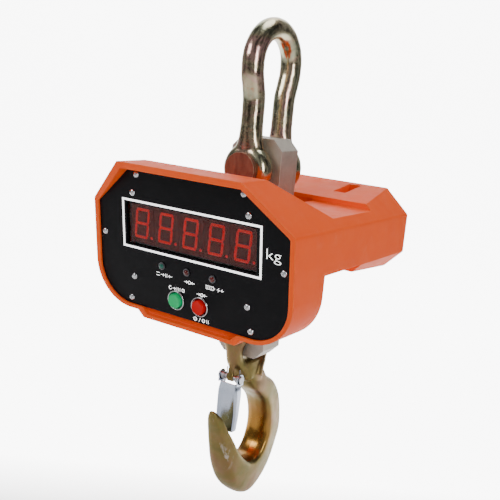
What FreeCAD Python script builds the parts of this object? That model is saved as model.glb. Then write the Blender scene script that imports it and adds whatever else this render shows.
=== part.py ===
"""Crane scale: shackle, load cell, die-cast housing with its electronics, and a hook with a latch.

Millimetres. +Z is up, the display faces -Y and +X is to its right. The origin is where a hanging
hook bears on the crown of the shackle. The display and the housing are drawn in a frame of their
own, whose origin is the middle of the display panel.
"""
import FreeCAD
import Part
import Sketcher
import math
import os

Vector = FreeCAD.Vector
Rotation = FreeCAD.Rotation
X_AXIS = Vector(1, 0, 0)
Y_AXIS = Vector(0, 1, 0)
Z_AXIS = Vector(0, 0, 1)

# A corner of the outline that is inset by a wall slides by these shares of the wall.
TOP_CORNER_SLIDE = 0.40
SIDE_CORNER_SLIDE = 0.44

DIMENSIONS = {
    # shackle
    "rod_radius": 12.75, "crown_radius": 39.4, "leg_half_gap": 31.25, "eye_radius": 29.5,
    "eye_bevel": 7,
    "eye_thick": 25.5, "shackle_pin_depth": 143, "shackle_pin_radius": 14, "pin_head_radius": 19.5,
    "pin_head_thick": 5, "pin_tail": 17, "pin_play": 0.08,
    # load cell
    "cell_half": 33.8, "cell_thick": 35, "cell_top_depth": 107.5, "cell_bottom_depth": 366,
    "cell_chamfer": 12, "gauge_radius": 22, "gauge_depth": 9, "gauge_cover_thick": 2,
    # housing outline, from the panel's middle
    "panel_depth": 224, "panel_forward": 130, "panel_tilt": 7.1,
    "top_half": 79.4, "top_height": 84.2, "side_half": 131, "corner_height": 37,
    "base_drop": 82, "base_round": 50, "chin_half": 70, "chin_slant": 8, "chin_drop": 89.5,
    "waist_drop": 9, "front_box_back": 60, "rear_step": 143.6, "housing_back": 258,
    "rear_base_drop": 19.7, "rear_base_slope": 0.1, "rear_corner_cut": 30,
    "hood_reach": 29.5, "rim_proud": 2.5, "top_flat_back": 15, "trough_start": 84,
    "trough_floor": 46.5, "trough_end": 175, "rear_top_front": 53.3, "rear_top_slope": 0.142,
    "edge_round": 4, "wall": 5.5, "low_wall": 3.8, "ledge": 5.5, "rear_wall": 6,
    "slot_half": 44, "slot_front": 106, "slot_reach": 6,
    "pocket_inner": 54, "pocket_outer": 70, "pocket_front": 206, "pocket_back": 248,
    "pocket_floor": 51,
    # panel and what it carries
    "seat_top_half": 77.3, "seat_top": 79.6, "seat_corner": 34.9,
    "panel_thick": 3, "gasket_thick": 1, "fit_gap": 0.3,
    "window_half": 86, "window_base": -8, "window_top": 39.5, "frame_left": 90.7,
    "frame_right": 92.3, "frame_base": -11.7, "frame_top": 43.1, "frame_line": 2.2,
    "digit_pitch": 33.4, "digit_first": -66.8, "digit_base": -6, "digit_top": 37.5,
    "segment_height": 16.6, "segment_tall": 34, "segment_wide": 19.5, "segment_bar": 3,
    "segment_lean": 6.7, "point_right": 13.2, "point_low": 1.7,
    "lamp_first": -35.6, "lamp_pitch": 34, "lamp_drop": 24.4, "lamp_radius": 2.5,
    "lamp_holder_radius": 4.1, "button_half": 16, "button_drop": 59, "cap_radius": 8,
    "cap_proud": 5.4,
    "ring_radius": 11.1, "screw_radius": 2, "screw_head_radius": 3.7,
    "screw_top_x": 69.7, "screw_top_z": 71.2, "screw_side_x": 118.1,
    "screw_base_x": 80.6, "screw_base_z": 70.5,
    "post_x": 75.9, "post_top_z": 50.4, "post_base_z": 44.8, "board_gap": 13.2, "board_thick": 1.6,
    # battery box
    "battery_long": 101, "battery_deep": 54, "battery_tall": 47, "cover_thick": 4,
    # hook, from the hook pin
    "hook_pin_depth": 328.5, "hook_pin_radius": 14, "fork_gap": 37, "arm_thick": 18,
    "arm_radius": 23, "neck_half": 11, "slot_drop": 47, "lug_half": 5, "lug_radius": 5.2,
    # latch
    "latch_forward": 29, "latch_pivot_drop": 63.3, "latch_half": 14, "latch_long": 70,
    "latch_sheet": 1.5, "latch_pin_radius": 3,
}


class Size:
    """A length with its value and the spreadsheet expression that gives it."""

    def __init__(self, value, text):
        self.value = float(value)
        self.text = text

    def join(self, other, sign, value):
        return Size(value, "(%s %s %s)" % (self.text, sign, other.text))

    def __add__(self, other):
        other = as_size(other)
        return self.join(other, "+", self.value + other.value)

    def __sub__(self, other):
        other = as_size(other)
        return self.join(other, "-", self.value - other.value)

    def __mul__(self, other):
        other = as_size(other)
        return self.join(other, "*", self.value * other.value)

    def __truediv__(self, other):
        other = as_size(other)
        return self.join(other, "/", self.value / other.value)

    def __neg__(self):
        return Size(-self.value, "(0 - %s)" % self.text)

    __radd__ = __add__

    def __rsub__(self, other):
        return as_size(other) - self


def as_size(number):
    """Any number as a Size; a Size stays what it is."""
    if isinstance(number, Size):
        return number
    return Size(number, "(%r)" % float(number))


class Dimensions:
    """The driving dimensions, as attributes: d.wall is the Size of the cell named wall."""

    def __init__(self, document):
        self.sheet = document.addObject("Spreadsheet::Sheet", "dims")
        for row, (alias, value) in enumerate(DIMENSIONS.items(), start=1):
            cell = "B%d" % row
            self.sheet.set("A%d" % row, alias)
            self.sheet.set(cell, str(value))
            self.sheet.setAlias(cell, alias)
            setattr(self, alias, Size(value, "dims." + alias))
        document.recompute()


doc = FreeCAD.newDocument("crane_scale")
d = Dimensions(doc)
nodes = []


# ---------------------------------------------------------------- helpers

def bind(target, prop, size):
    """Set a property to a size and keep it bound to the spreadsheet."""
    size = as_size(size)
    if "." not in prop:
        setattr(target, prop, size.value)
    target.setExpression(prop, size.text)


def place(target, at=(0, 0, 0), tilt=None):
    """Put an object at a point, and tilt it about X when asked."""
    turn = Rotation(X_AXIS, tilt.value) if tilt else Rotation()
    sizes = [as_size(part) for part in at]
    target.Placement = FreeCAD.Placement(Vector(*[part.value for part in sizes]), turn)
    for axis, part in zip("xyz", sizes):
        target.setExpression("Placement.Base." + axis, part.text)
    if tilt:
        target.setExpression("Placement.Rotation.Angle", tilt.text)


def node(target, name):
    """Name a finished sub-part; its name is its file's name."""
    target.Label = name
    nodes.append(target)
    return target


def new_body(name):
    return doc.addObject("PartDesign::Body", "body_" + name)


def new_sketch(body, role, offset=0, tilt=None):
    """A sketch on one of the body's origin planes, tilted about X, then moved along its own normal."""
    sketch = body.newObject("Sketcher::SketchObject", "sketch")
    plane = next(part for part in body.Origin.OriginFeatures if part.Role == role)
    sketch.AttachmentSupport = [(plane, "")]
    sketch.MapMode = "FlatFace"
    offset = as_size(offset)
    turn = Rotation(X_AXIS, tilt.value) if tilt else Rotation()
    sketch.AttachmentOffset = FreeCAD.Placement(turn.multVec(Vector(0, 0, offset.value)), turn)
    if tilt:
        angle = "((%s) * 1 deg)" % tilt.text
        sketch.setExpression("AttachmentOffset.Base.y", "-(%s) * sin%s" % (offset.text, angle))
        sketch.setExpression("AttachmentOffset.Base.z", "(%s) * cos%s" % (offset.text, angle))
        sketch.setExpression("AttachmentOffset.Rotation.Angle", tilt.text)
    else:
        sketch.setExpression("AttachmentOffset.Base.z", offset.text)
    return sketch


def pin_point(sketch, geometry, point, at):
    """Tie a point of a sketch to two sizes measured from the sketch's origin."""
    for kind, size in zip(("DistanceX", "DistanceY"), at):
        size = as_size(size)
        index = sketch.addConstraint(
            Sketcher.Constraint(kind, -1, 1, geometry, point, size.value))
        sketch.setExpression("Constraints[%d]" % index, size.text)


def draw_polygon(sketch, corners):
    """A closed outline of straight lines through corners given as sizes."""
    points = [Vector(as_size(a).value, as_size(b).value, 0) for a, b in corners]
    first = sketch.GeometryCount
    count = len(points)
    for i in range(count):
        sketch.addGeometry(Part.LineSegment(points[i], points[(i + 1) % count]))
    for i in range(count):
        sketch.addConstraint(
            Sketcher.Constraint("Coincident", first + i, 2, first + (i + 1) % count, 1))
        pin_point(sketch, first + i, 1, corners[i])


def draw_circle(sketch, centre, radius):
    """A circle whose centre and radius are sizes."""
    radius = as_size(radius)
    middle = Vector(as_size(centre[0]).value, as_size(centre[1]).value, 0)
    index = sketch.addGeometry(Part.Circle(middle, Z_AXIS, radius.value))
    pin_point(sketch, index, 3, centre)
    rule = sketch.addConstraint(Sketcher.Constraint("Radius", index, radius.value))
    sketch.setExpression("Constraints[%d]" % rule, radius.text)


def box_corners(left, right, low, high):
    return [(left, low), (right, low), (right, high), (left, high)]


def pad(body, sketch, length, both_ways=False, flip=False):
    feature = body.newObject("PartDesign::Pad", "pad")
    feature.Profile = sketch
    bind(feature, "Length", length)
    feature.SideType = "Symmetric" if both_ways else "One side"
    feature.Reversed = flip
    return feature


def pocket(body, sketch, length=None, both_ways=False, flip=False):
    """Cut a sketch into the body; with no length it cuts right through."""
    feature = body.newObject("PartDesign::Pocket", "pocket")
    feature.Profile = sketch
    if length is None:
        feature.Type = "ThroughAll"
    else:
        bind(feature, "Length", length)
    feature.SideType = "Symmetric" if both_ways else "One side"
    feature.Reversed = flip
    return feature


def find_edges(feature, test):
    """Names of the feature's edges for which test(edge) is true."""
    doc.recompute()
    edges = feature.Shape.Edges
    return ["Edge%d" % (i + 1) for i, edge in enumerate(edges) if test(edge)]


def round_edges(body, feature, test, radius):
    names = find_edges(feature, test)
    fillet = body.newObject("PartDesign::Fillet", "fillet")
    fillet.Base = (feature, names)
    bind(fillet, "Radius", radius)
    return fillet


def runs_along(axis, at=None, tolerance=0.6):
    """A test for straight edges along an axis, and through the given coordinates when there are any."""
    def test(edge):
        if len(edge.Vertexes) != 2:
            return False
        start, end = edge.Vertexes[0].Point, edge.Vertexes[1].Point
        run = end - start
        if run.Length < tolerance or abs(run.normalize().dot(axis)) < 0.999:
            return False
        if at is None:
            return True
        return all(abs(abs(getattr(start, name)) - abs(value)) < tolerance
                   for name, value in at.items())
    return test


def stand_along(solid, at, along):
    """Start a round solid at a point and point it along an axis."""
    sizes = [as_size(part) for part in at]
    turn = Rotation(Z_AXIS, along)
    solid.Placement = FreeCAD.Placement(Vector(*[part.value for part in sizes]), turn)
    for name, part in zip("xyz", sizes):
        solid.setExpression("Placement.Base." + name, part.text)
    return solid


def cylinder(radius, length, at, along=Y_AXIS):
    """A Part cylinder that starts at a point and runs along an axis."""
    rod = doc.addObject("Part::Cylinder", "cylinder")
    bind(rod, "Radius", radius)
    bind(rod, "Height", length)
    return stand_along(rod, at, along)


def cone(start_radius, end_radius, length, at, along=Y_AXIS):
    """A Part cone that starts at a point and runs along an axis."""
    taper = doc.addObject("Part::Cone", "cone")
    bind(taper, "Radius1", start_radius)
    bind(taper, "Radius2", end_radius)
    bind(taper, "Height", length)
    return stand_along(taper, at, along)


def block(low, high):
    """A Part box between two corners given as sizes."""
    low = [as_size(part) for part in low]
    high = [as_size(part) for part in high]
    solid = doc.addObject("Part::Box", "block")
    for prop, start, end in zip(("Length", "Width", "Height"), low, high):
        bind(solid, prop, end - start)
    place(solid, low)
    return solid


def fuse(parts):
    union = doc.addObject("Part::MultiFuse", "union")
    union.Shapes = parts
    return union


def cut(base, tools):
    tool = tools[0] if len(tools) == 1 else fuse(tools)
    result = doc.addObject("Part::Cut", "cut")
    result.Base = base
    result.Tool = tool
    return result


def group(parts):
    """Separate solids that share one node."""
    compound = doc.addObject("Part::Compound", "group")
    compound.Links = parts
    return compound


# ---------------------------------------------------------------- frames

PANEL_MIDDLE = (0, -d.panel_forward, -d.panel_depth)
HOOK_PIN = (0, 0, -d.hook_pin_depth)
LATCH_PIVOT = (0, -d.latch_forward, -(d.hook_pin_depth + d.latch_pivot_drop))


def in_housing(target, name):
    """A piece drawn in the housing's own frame."""
    place(target, PANEL_MIDDLE)
    return node(target, name)


def on_panel(target, name):
    """A piece drawn in the panel's frame, where +Y points into the housing."""
    place(target, PANEL_MIDDLE, d.panel_tilt)
    return node(target, name)


# ---------------------------------------------------------------- shackle

def rod_arc(ring_radius, centre, start, sweep):
    """A bent round bar in the YZ plane; the angles run from +Y towards +Z."""
    arc = doc.addObject("Part::Torus", "rod_arc")
    bind(arc, "Radius1", ring_radius)
    bind(arc, "Radius2", d.rod_radius)
    bind(arc, "Angle3", sweep)
    sizes = [as_size(part) for part in centre]
    flat = Rotation(Y_AXIS, Z_AXIS, X_AXIS)
    turn = Rotation(X_AXIS, as_size(start).value).multiply(flat)
    arc.Placement = FreeCAD.Placement(Vector(*[part.value for part in sizes]), turn)
    for name, part in zip("xyz", sizes):
        arc.setExpression("Placement.Base." + name, part.text)
    return arc


def build_shackle():
    crown_z = d.rod_radius - d.crown_radius
    shift = (d.crown_radius - d.leg_half_gap).value
    height = 40.0
    bend = (height ** 2 + shift ** 2) / (4 * shift)
    sweep = math.degrees(math.asin(height / 2 / bend))
    parts = [rod_arc(d.crown_radius, (0, 0, crown_z), 0, 180)]
    eye_gap = d.leg_half_gap - d.eye_thick / 2
    for side in (1, -1):
        upper_start = -sweep if side > 0 else 180
        lower_start = 180 - sweep if side > 0 else 0
        parts.append(rod_arc(bend, (0, (d.crown_radius - bend) * side, crown_z), upper_start, sweep))
        parts.append(rod_arc(bend, (0, (d.leg_half_gap + bend) * side, crown_z - height),
                             lower_start, sweep))
        parts.append(cylinder(d.rod_radius, d.shackle_pin_depth + crown_z - height - d.eye_radius / 2,
                              (0, d.leg_half_gap * side, d.eye_radius / 2 - d.shackle_pin_depth), Z_AXIS))
        eye_start = eye_gap if side > 0 else -(eye_gap + d.eye_thick)
        straight = d.eye_thick - d.eye_bevel * 2
        worn = d.eye_radius - d.eye_bevel
        for radius, end, length, start in (
                (worn, d.eye_radius, d.eye_bevel, eye_start),
                (d.eye_radius, worn, d.eye_bevel, eye_start + d.eye_bevel + straight)):
            parts.append(cone(radius, end, length, (0, start, -d.shackle_pin_depth)))
        parts.append(cylinder(d.eye_radius, straight, (0, eye_start + d.eye_bevel, -d.shackle_pin_depth)))
    reach = eye_gap + d.eye_thick
    hole = cylinder(d.shackle_pin_radius + d.pin_play, reach * 2 + 2,
                    (0, -reach - 1, -d.shackle_pin_depth))
    node(cut(fuse(parts), [hole]), "shackle_bow")


def build_cross_pin(prefix, half_span, depth):
    """A headed pin along Y with its washer and split pin; half_span is to the outer cheek."""
    washer_thick = 3
    hole_back = 6
    split_radius = 2.5
    at_tail = half_span + washer_thick + hole_back
    head = cylinder(d.pin_head_radius, d.pin_head_thick, (0, -half_span - d.pin_head_thick, -depth))
    shank = cylinder(d.shackle_pin_radius, half_span * 2 + d.pin_tail, (0, -half_span, -depth))
    cross = cylinder(split_radius + 0.1, 40, (0, at_tail, -depth - 20), Z_AXIS)
    node(cut(fuse([head, shank]), [cross]), prefix + "_pin")
    ring = cylinder(d.shackle_pin_radius + 8, washer_thick, (0, half_span, -depth))
    bore = cylinder(d.shackle_pin_radius + d.pin_play, washer_thick, (0, half_span, -depth))
    node(cut(ring, [bore]), prefix + "_pin_washer")
    legs = cylinder(split_radius, 38, (0, at_tail, -depth - 20), Z_AXIS)
    eye = doc.addObject("Part::Torus", "split_eye")
    bind(eye, "Radius1", 4.5)
    bind(eye, "Radius2", 1.9)
    place(eye, (0, at_tail, -depth + 22))
    eye.Placement = FreeCAD.Placement(eye.Placement.Base, Rotation(X_AXIS, 90))
    node(fuse([legs, eye]), prefix + "_split_pin")


# ---------------------------------------------------------------- load cell

BRACKET_BOLT_DROPS = (32, 46)
WAIST_BOLT_PLACES = (-7, 7)


def build_load_cell():
    body = new_body("load_cell")
    corner = d.cell_chamfer
    top, base = -d.cell_top_depth, -d.cell_bottom_depth
    half = d.cell_half
    sketch = new_sketch(body, "XZ_Plane")
    draw_polygon(sketch, [
        (corner - half, base), (half - corner, base), (half, base + corner), (half, top - corner),
        (half - corner, top), (corner - half, top), (-half, top - corner), (-half, base + corner)])
    pad(body, sketch, d.cell_thick, both_ways=True)
    sketch = new_sketch(body, "XZ_Plane")
    draw_circle(sketch, (0, -d.shackle_pin_depth), d.shackle_pin_radius + d.pin_play)
    draw_circle(sketch, (0, -d.hook_pin_depth), d.hook_pin_radius + d.pin_play)
    pocket(body, sketch, both_ways=True)
    middle = -(d.shackle_pin_depth + d.hook_pin_depth) / 2
    for side, flip in ((-1, True), (1, False)):
        sketch = new_sketch(body, "XZ_Plane", (d.cell_thick / 2 - d.gauge_depth) * -side)
        draw_circle(sketch, (0, middle), d.gauge_radius)
        pocket(body, sketch, flip=flip)
        cover = cylinder(d.gauge_radius - 0.1, d.gauge_cover_thick,
                         (0, d.cell_thick / 2 * side - (d.gauge_cover_thick if side > 0 else 0), middle))
        node(group([cover]), "gauge_cover_" + ("rear" if side > 0 else "front"))
    for side, flip in ((1, True), (-1, False)):
        sketch = new_sketch(body, "YZ_Plane", (half - 16) * side)
        for drop in BRACKET_BOLT_DROPS:
            draw_circle(sketch, (0, -(d.panel_depth + drop)), 4.05)
        pocket(body, sketch, flip=flip)
    node(body, "load_cell")


def build_brackets():
    """Two steel angles that carry the housing on the load cell's edges."""
    thick = 5
    half_long = 13
    bolts = []
    for side, name in ((1, "right"), (-1, "left")):
        def span(near, far):
            return (near, far) if side > 0 else (-far, -near)
        x0, x1 = span(d.cell_half, d.cell_half + thick)
        upright = block((x0, -half_long, -(d.panel_depth + 58)),
                        (x1, half_long, -(d.panel_depth + d.waist_drop)))
        x0, x1 = span(d.cell_half + thick, d.cell_half + 33)
        shelf = block((x0, -half_long, -(d.panel_depth + d.waist_drop + thick)),
                      (x1, half_long, -(d.panel_depth + d.waist_drop)))
        holes = []
        outward = X_AXIS * side
        for drop in BRACKET_BOLT_DROPS:
            z = -(d.panel_depth + drop)
            start = (d.cell_half - 1) * side
            holes.append(cylinder(4.3, thick + 2, (start, 0, z), outward))
            shank = cylinder(4, 15 + thick, ((d.cell_half - 15) * side, 0, z), outward)
            head = cylinder(6.5, 5, ((d.cell_half + thick) * side, 0, z), outward)
            socket = cylinder(3, 3, ((d.cell_half + thick + 2) * side, 0, z), outward)
            bolts.append(cut(fuse([shank, head]), [socket]))
        for y in WAIST_BOLT_PLACES:
            x = (d.cell_half + 20) * side
            under = -(d.panel_depth + d.waist_drop + thick)
            holes.append(cylinder(3.3, thick + 2, (x, y, under - 1), Z_AXIS))
            shank = cylinder(3, thick + 5, (x, y, under), Z_AXIS)
            head = cylinder(5, 4, (x, y, under - 4), Z_AXIS)
            socket = cylinder(2.5, 2.5, (x, y, under - 4), Z_AXIS)
            bolts.append(cut(fuse([shank, head]), [socket]))
        node(cut(fuse([upright, shelf]), holes), "cell_bracket_" + name)
    node(group(bolts), "bracket_bolts")


# ---------------------------------------------------------------- housing

# Right-hand corners of the battery's space, and the low side of the battery in it.
BATTERY_SPACE = [(101, 47), (119, 31.7), (119, -6.9), (111, -15)]
BATTERY_LOW = -15


def both_sides(half_outline):
    """Close an outline: the right-hand corners from the top down, and their mirror images."""
    return half_outline + [(-x, z) for x, z in reversed(half_outline)]


def shell_outline(inset, base):
    """Right-hand corners of the housing seen from the front, set in by a wall."""
    inset = as_size(inset)
    side = d.side_half - inset
    return [(d.top_half - inset * TOP_CORNER_SLIDE, d.top_height - inset),
            (side, d.corner_height - inset * SIDE_CORNER_SLIDE), (side, base)]


def seat_outline(gap, base):
    """Right-hand corners of the panel's seat in the panel's frame, set in by a gap."""
    gap = as_size(gap)
    side = d.side_half - d.wall - gap
    return [(d.seat_top_half - gap * TOP_CORNER_SLIDE, d.seat_top - gap),
            (side, d.seat_corner - gap * SIDE_CORNER_SLIDE), (side, base)]


def rear_outline(inset):
    """Right-hand corners of the opening behind the battery, set in from the rear end."""
    inset = as_size(inset)
    rear_top = d.rear_top_front + d.rear_top_slope * (d.housing_back - d.trough_end)
    rear_base = -(d.rear_base_drop + d.rear_base_slope * (d.housing_back - d.rear_step))
    slant = (d.side_half - d.top_half) / (d.top_height - d.corner_height)
    top_x = d.top_half + (d.top_height - rear_top) * slant
    low_x = d.side_half - (-rear_base - d.waist_drop)
    return [(top_x - inset * TOP_CORNER_SLIDE, rear_top - inset),
            (d.side_half - inset, d.corner_height - inset * SIDE_CORNER_SLIDE),
            (d.side_half - inset, inset * SIDE_CORNER_SLIDE - d.waist_drop),
            (low_x - inset * SIDE_CORNER_SLIDE, rear_base + inset)]


def panel_screw_places():
    return ([(d.screw_top_x * s, d.screw_top_z) for s in (-1, 1)]
            + [(d.screw_side_x * s, as_size(0)) for s in (-1, 1)]
            + [(d.screw_base_x * s, -d.screw_base_z) for s in (-1, 1)])


def cover_screw_places():
    return ([(as_size(85) * s, as_size(54.3)) for s in (-1, 1)]
            + [(as_size(122) * s, as_size(14)) for s in (-1, 1)]
            + [(as_size(60) * s, as_size(-20)) for s in (-1, 1)])


def pad_housing_masses(body):
    """The display box with its chin, the waist, and the battery box."""
    clear = 40
    base = -d.base_drop
    sketch = new_sketch(body, "XZ_Plane", -d.front_box_back)
    draw_polygon(sketch, both_sides(shell_outline(0, base)))
    box = pad(body, sketch, d.front_box_back + clear)
    round_edges(body, box, runs_along(Y_AXIS, {"x": d.side_half.value, "z": d.base_drop.value}),
                d.base_round)
    sketch = new_sketch(body, "XZ_Plane", -d.front_box_back)
    draw_polygon(sketch, both_sides([
        (d.chin_half, base + 5), (d.chin_half, base), (d.chin_half - d.chin_slant, -d.chin_drop)]))
    pad(body, sketch, d.front_box_back + clear)
    sketch = new_sketch(body, "XZ_Plane", -(d.rear_step + 10))
    draw_polygon(sketch, both_sides(shell_outline(0, -d.waist_drop)))
    pad(body, sketch, d.rear_step - 10)
    sketch = new_sketch(body, "XZ_Plane", -d.housing_back)
    side = d.side_half - d.rear_corner_cut
    draw_polygon(sketch, both_sides(
        shell_outline(0, -d.waist_drop) + [(side, -(d.waist_drop + d.rear_corner_cut))]))
    pad(body, sketch, d.housing_back - d.rear_step)


def trim_housing_profile(body):
    """Cuts seen from the side: hood and rim, trough and rear top, and the rear's sloping base."""
    far = 100
    lean = math.tan(math.radians(d.panel_tilt.value))
    sketch = new_sketch(body, "YZ_Plane")
    low_y = -d.rim_proud + far * lean
    corner_y = -d.rim_proud - d.corner_height * lean
    hood_slope = (d.hood_reach + corner_y) / (d.top_height - d.corner_height)
    top_y = corner_y - hood_slope * (far - d.corner_height)
    draw_polygon(sketch, [(-60, -far), (low_y, -far), (corner_y, d.corner_height),
                          (top_y, far), (-60, far)])
    pocket(body, sketch, both_ways=True)
    sketch = new_sketch(body, "YZ_Plane")
    end = d.housing_back + 20
    draw_polygon(sketch, [
        (d.top_flat_back, far), (d.top_flat_back, d.top_height),
        (d.trough_start, d.trough_floor), (d.trough_end, d.trough_floor),
        (d.trough_end, d.rear_top_front),
        (end, d.rear_top_front + d.rear_top_slope * (end - d.trough_end)), (end, far)])
    pocket(body, sketch, both_ways=True)
    sketch = new_sketch(body, "YZ_Plane")
    draw_polygon(sketch, [
        (d.rear_step - 1, -d.rear_base_drop), (d.rear_step - 1, -far), (end, -far),
        (end, -(d.rear_base_drop + d.rear_base_slope * (end - d.rear_step)))])
    return pocket(body, sketch, both_ways=True)


def hollow_housing_front(body):
    """The tilted seat for the panel, the space behind it, and the bosses for its screws."""
    seat = d.panel_thick + d.gasket_thick
    wall = d.wall
    chin_x = d.chin_half - wall
    seat_low = d.low_wall - d.base_drop
    turn = d.base_round - wall
    side = d.side_half - wall
    sketch = new_sketch(body, "XZ_Plane", -seat, d.panel_tilt)
    draw_polygon(sketch, both_sides(seat_outline(0, seat_low + turn) + [
        (side - turn, seat_low), (chin_x, seat_low),
        (chin_x - d.chin_slant, d.low_wall - d.chin_drop)]))
    pocket(body, sketch, 90, flip=True)
    sketch = new_sketch(body, "XZ_Plane", -seat, d.panel_tilt)
    for sign in (-1, 1):
        draw_circle(sketch, ((side - turn) * sign, seat_low + turn), turn)
    pocket(body, sketch, 90, flip=True)
    inset = wall + d.ledge
    for depth, outline in (
            (20, shell_outline(inset, 20)),
            (d.front_box_back - 4, [
                (98, 54), (d.side_half - inset, 32), (d.side_half - inset, -32),
                (82, inset - d.base_drop)]),
            (d.slot_front - 8, [(108, 40), (108, -3)])):
        sketch = new_sketch(body, "XZ_Plane", -as_size(depth))
        draw_polygon(sketch, both_sides(outline))
        pocket(body, sketch, as_size(depth) + 40, flip=True)
    sketch = new_sketch(body, "XZ_Plane", -seat, d.panel_tilt)
    for place_at in panel_screw_places():
        draw_circle(sketch, place_at, 6)
    pad(body, sketch, 16, flip=True)
    sketch = new_sketch(body, "XZ_Plane", -seat, d.panel_tilt)
    for place_at in panel_screw_places():
        draw_circle(sketch, place_at, d.screw_radius + 0.05)
    pocket(body, sketch, 12)


def hollow_housing_rear(body):
    """The battery's space, the seat for the rear cover, and the passages beside the load cell."""
    seat = d.housing_back - d.cover_thick - d.gasket_thick
    sketch = new_sketch(body, "XZ_Plane", -seat)
    draw_polygon(sketch, both_sides(rear_outline(d.rear_wall)))
    pocket(body, sketch)
    start = d.trough_end + d.slot_reach + 4
    sketch = new_sketch(body, "XZ_Plane", -start)
    draw_polygon(sketch, both_sides(BATTERY_SPACE))
    pocket(body, sketch)
    for side in (-1, 1):
        sketch = new_sketch(body, "XZ_Plane", -(start + 2))
        left, right = (49, 108) if side > 0 else (-108, -49)
        draw_polygon(sketch, box_corners(left, right, -3, 40))
        pocket(body, sketch, start + 2 - 90, flip=True)
    sketch = new_sketch(body, "XZ_Plane", -seat)
    for place_at in cover_screw_places():
        draw_circle(sketch, place_at, d.screw_radius + 0.05)
    pocket(body, sketch, 11, flip=True)


def open_housing_slot(body):
    """The slot the load cell stands in, the lead's hole, bracket holes and the top's pockets."""
    sketch = new_sketch(body, "XY_Plane", 80)
    draw_polygon(sketch, box_corners(-d.slot_half, d.slot_half, d.slot_front, d.trough_end))
    pocket(body, sketch)
    sketch = new_sketch(body, "XY_Plane", d.rear_top_front - 4)
    draw_polygon(sketch, box_corners(-d.slot_half, d.slot_half, d.trough_end - 5,
                                     d.trough_end + d.slot_reach))
    pocket(body, sketch)
    sketch = new_sketch(body, "XZ_Plane", -90)
    draw_circle(sketch, (0, 15), 4)
    pocket(body, sketch, d.slot_front - 80)
    sketch = new_sketch(body, "XY_Plane", -d.waist_drop)
    for x in (-1, 1):
        for y in WAIST_BOLT_PLACES:
            draw_circle(sketch, ((d.cell_half + 20) * x, d.panel_forward + y), 3.05)
    pocket(body, sketch, 20, flip=True)
    sketch = new_sketch(body, "XY_Plane", d.pocket_floor)
    for side in (-1, 1):
        left, right = ((d.pocket_inner, d.pocket_outer) if side > 0
                       else (-d.pocket_outer, -d.pocket_inner))
        draw_polygon(sketch, box_corners(left, right, d.pocket_front, d.pocket_back))
    pocket(body, sketch, flip=True)


def build_housing():
    body = new_body("housing")
    pad_housing_masses(body)
    shape = trim_housing_profile(body)
    round_edges(body, shape, runs_along(Y_AXIS, {"x": d.side_half.value, "z": d.corner_height.value}),
                d.edge_round)
    hollow_housing_front(body)
    hollow_housing_rear(body)
    open_housing_slot(body)
    in_housing(body, "housing")


def build_rear_cover():
    """The cover over the battery, its gasket, screws and the charging socket."""
    for name, back, thick, inset in (
            ("rear_gasket", d.housing_back - d.cover_thick, d.gasket_thick, 6.3),
            ("rear_cover", d.housing_back, d.cover_thick, 6.2)):
        body = new_body(name)
        sketch = new_sketch(body, "XZ_Plane", -back)
        draw_polygon(sketch, both_sides(rear_outline(inset)))
        pad(body, sketch, thick)
        sketch = new_sketch(body, "XZ_Plane", -back)
        for place_at in cover_screw_places():
            draw_circle(sketch, place_at, 2.2)
        if name == "rear_cover":
            draw_circle(sketch, (0, 26), 8.05)
        pocket(body, sketch, both_ways=True)
        if name == "rear_gasket":
            sketch = new_sketch(body, "XZ_Plane", -back)
            draw_polygon(sketch, both_sides(BATTERY_SPACE))
            pocket(body, sketch, both_ways=True)
        in_housing(body, name)
    screws = []
    for x, z in cover_screw_places():
        screws.append(panel_screw(x, z, d.housing_back, -Y_AXIS, 14))
    in_housing(group(screws), "rear_cover_screws")
    barrel = cylinder(8, 18, (0, d.housing_back - 16, 26))
    flange = cylinder(11, 2, (0, d.housing_back, 26))
    recess = cylinder(5.5, 10, (0, d.housing_back - 7, 26))
    contact = cylinder(1, 6, (0, d.housing_back - 8, 26))
    in_housing(fuse([cut(fuse([barrel, flange]), [recess]), contact]), "charging_socket")
    ring = cylinder(11, 3, (0, d.housing_back - d.cover_thick - 3, 26))
    bore = cylinder(8, 3, (0, d.housing_back - d.cover_thick - 3, 26))
    in_housing(cut(ring, [bore]), "charging_socket_nut")


# ---------------------------------------------------------------- screws

def panel_screw(x, z, face, inward, reach):
    """A cross-recessed round-head screw seated on a face; inward is the way it is driven."""
    head_high = 1.5
    head_base = as_size(face) - inward.y * head_high if inward.y > 0 else face
    head = cylinder(d.screw_head_radius, head_high, (x, head_base, z))
    shank_base = face if inward.y > 0 else face - reach
    shank = cylinder(d.screw_radius, reach, (x, shank_base, z))
    near = head_base if inward.y > 0 else face + 0.5
    slots = []
    for wide, tall in ((4.2, 0.9), (0.9, 4.2)):
        slots.append(block((x - wide / 2, near, z - tall / 2), (x + wide / 2, near + 1, z + tall / 2)))
    return cut(fuse([head, shank]), slots)


# ---------------------------------------------------------------- front panel

def panel_sheet(name, face, thick, inset, holes):
    """A sheet cut to the panel's outline, with its large low corners rounded."""
    body = new_body(name)
    sketch = new_sketch(body, "XZ_Plane", -as_size(face + thick))
    draw_polygon(sketch, both_sides(seat_outline(inset, d.low_wall + inset - d.base_drop)))
    sheet = pad(body, sketch, thick)
    side = d.side_half - d.wall - inset
    low = d.base_drop - d.low_wall - inset
    round_edges(body, sheet, runs_along(Y_AXIS, {"x": side.value, "z": low.value}),
                d.base_round - d.wall - inset)
    sketch = new_sketch(body, "XZ_Plane")
    for place_at, radius in holes:
        draw_circle(sketch, place_at, radius)
    pocket(body, sketch, both_ways=True)
    return body


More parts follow.
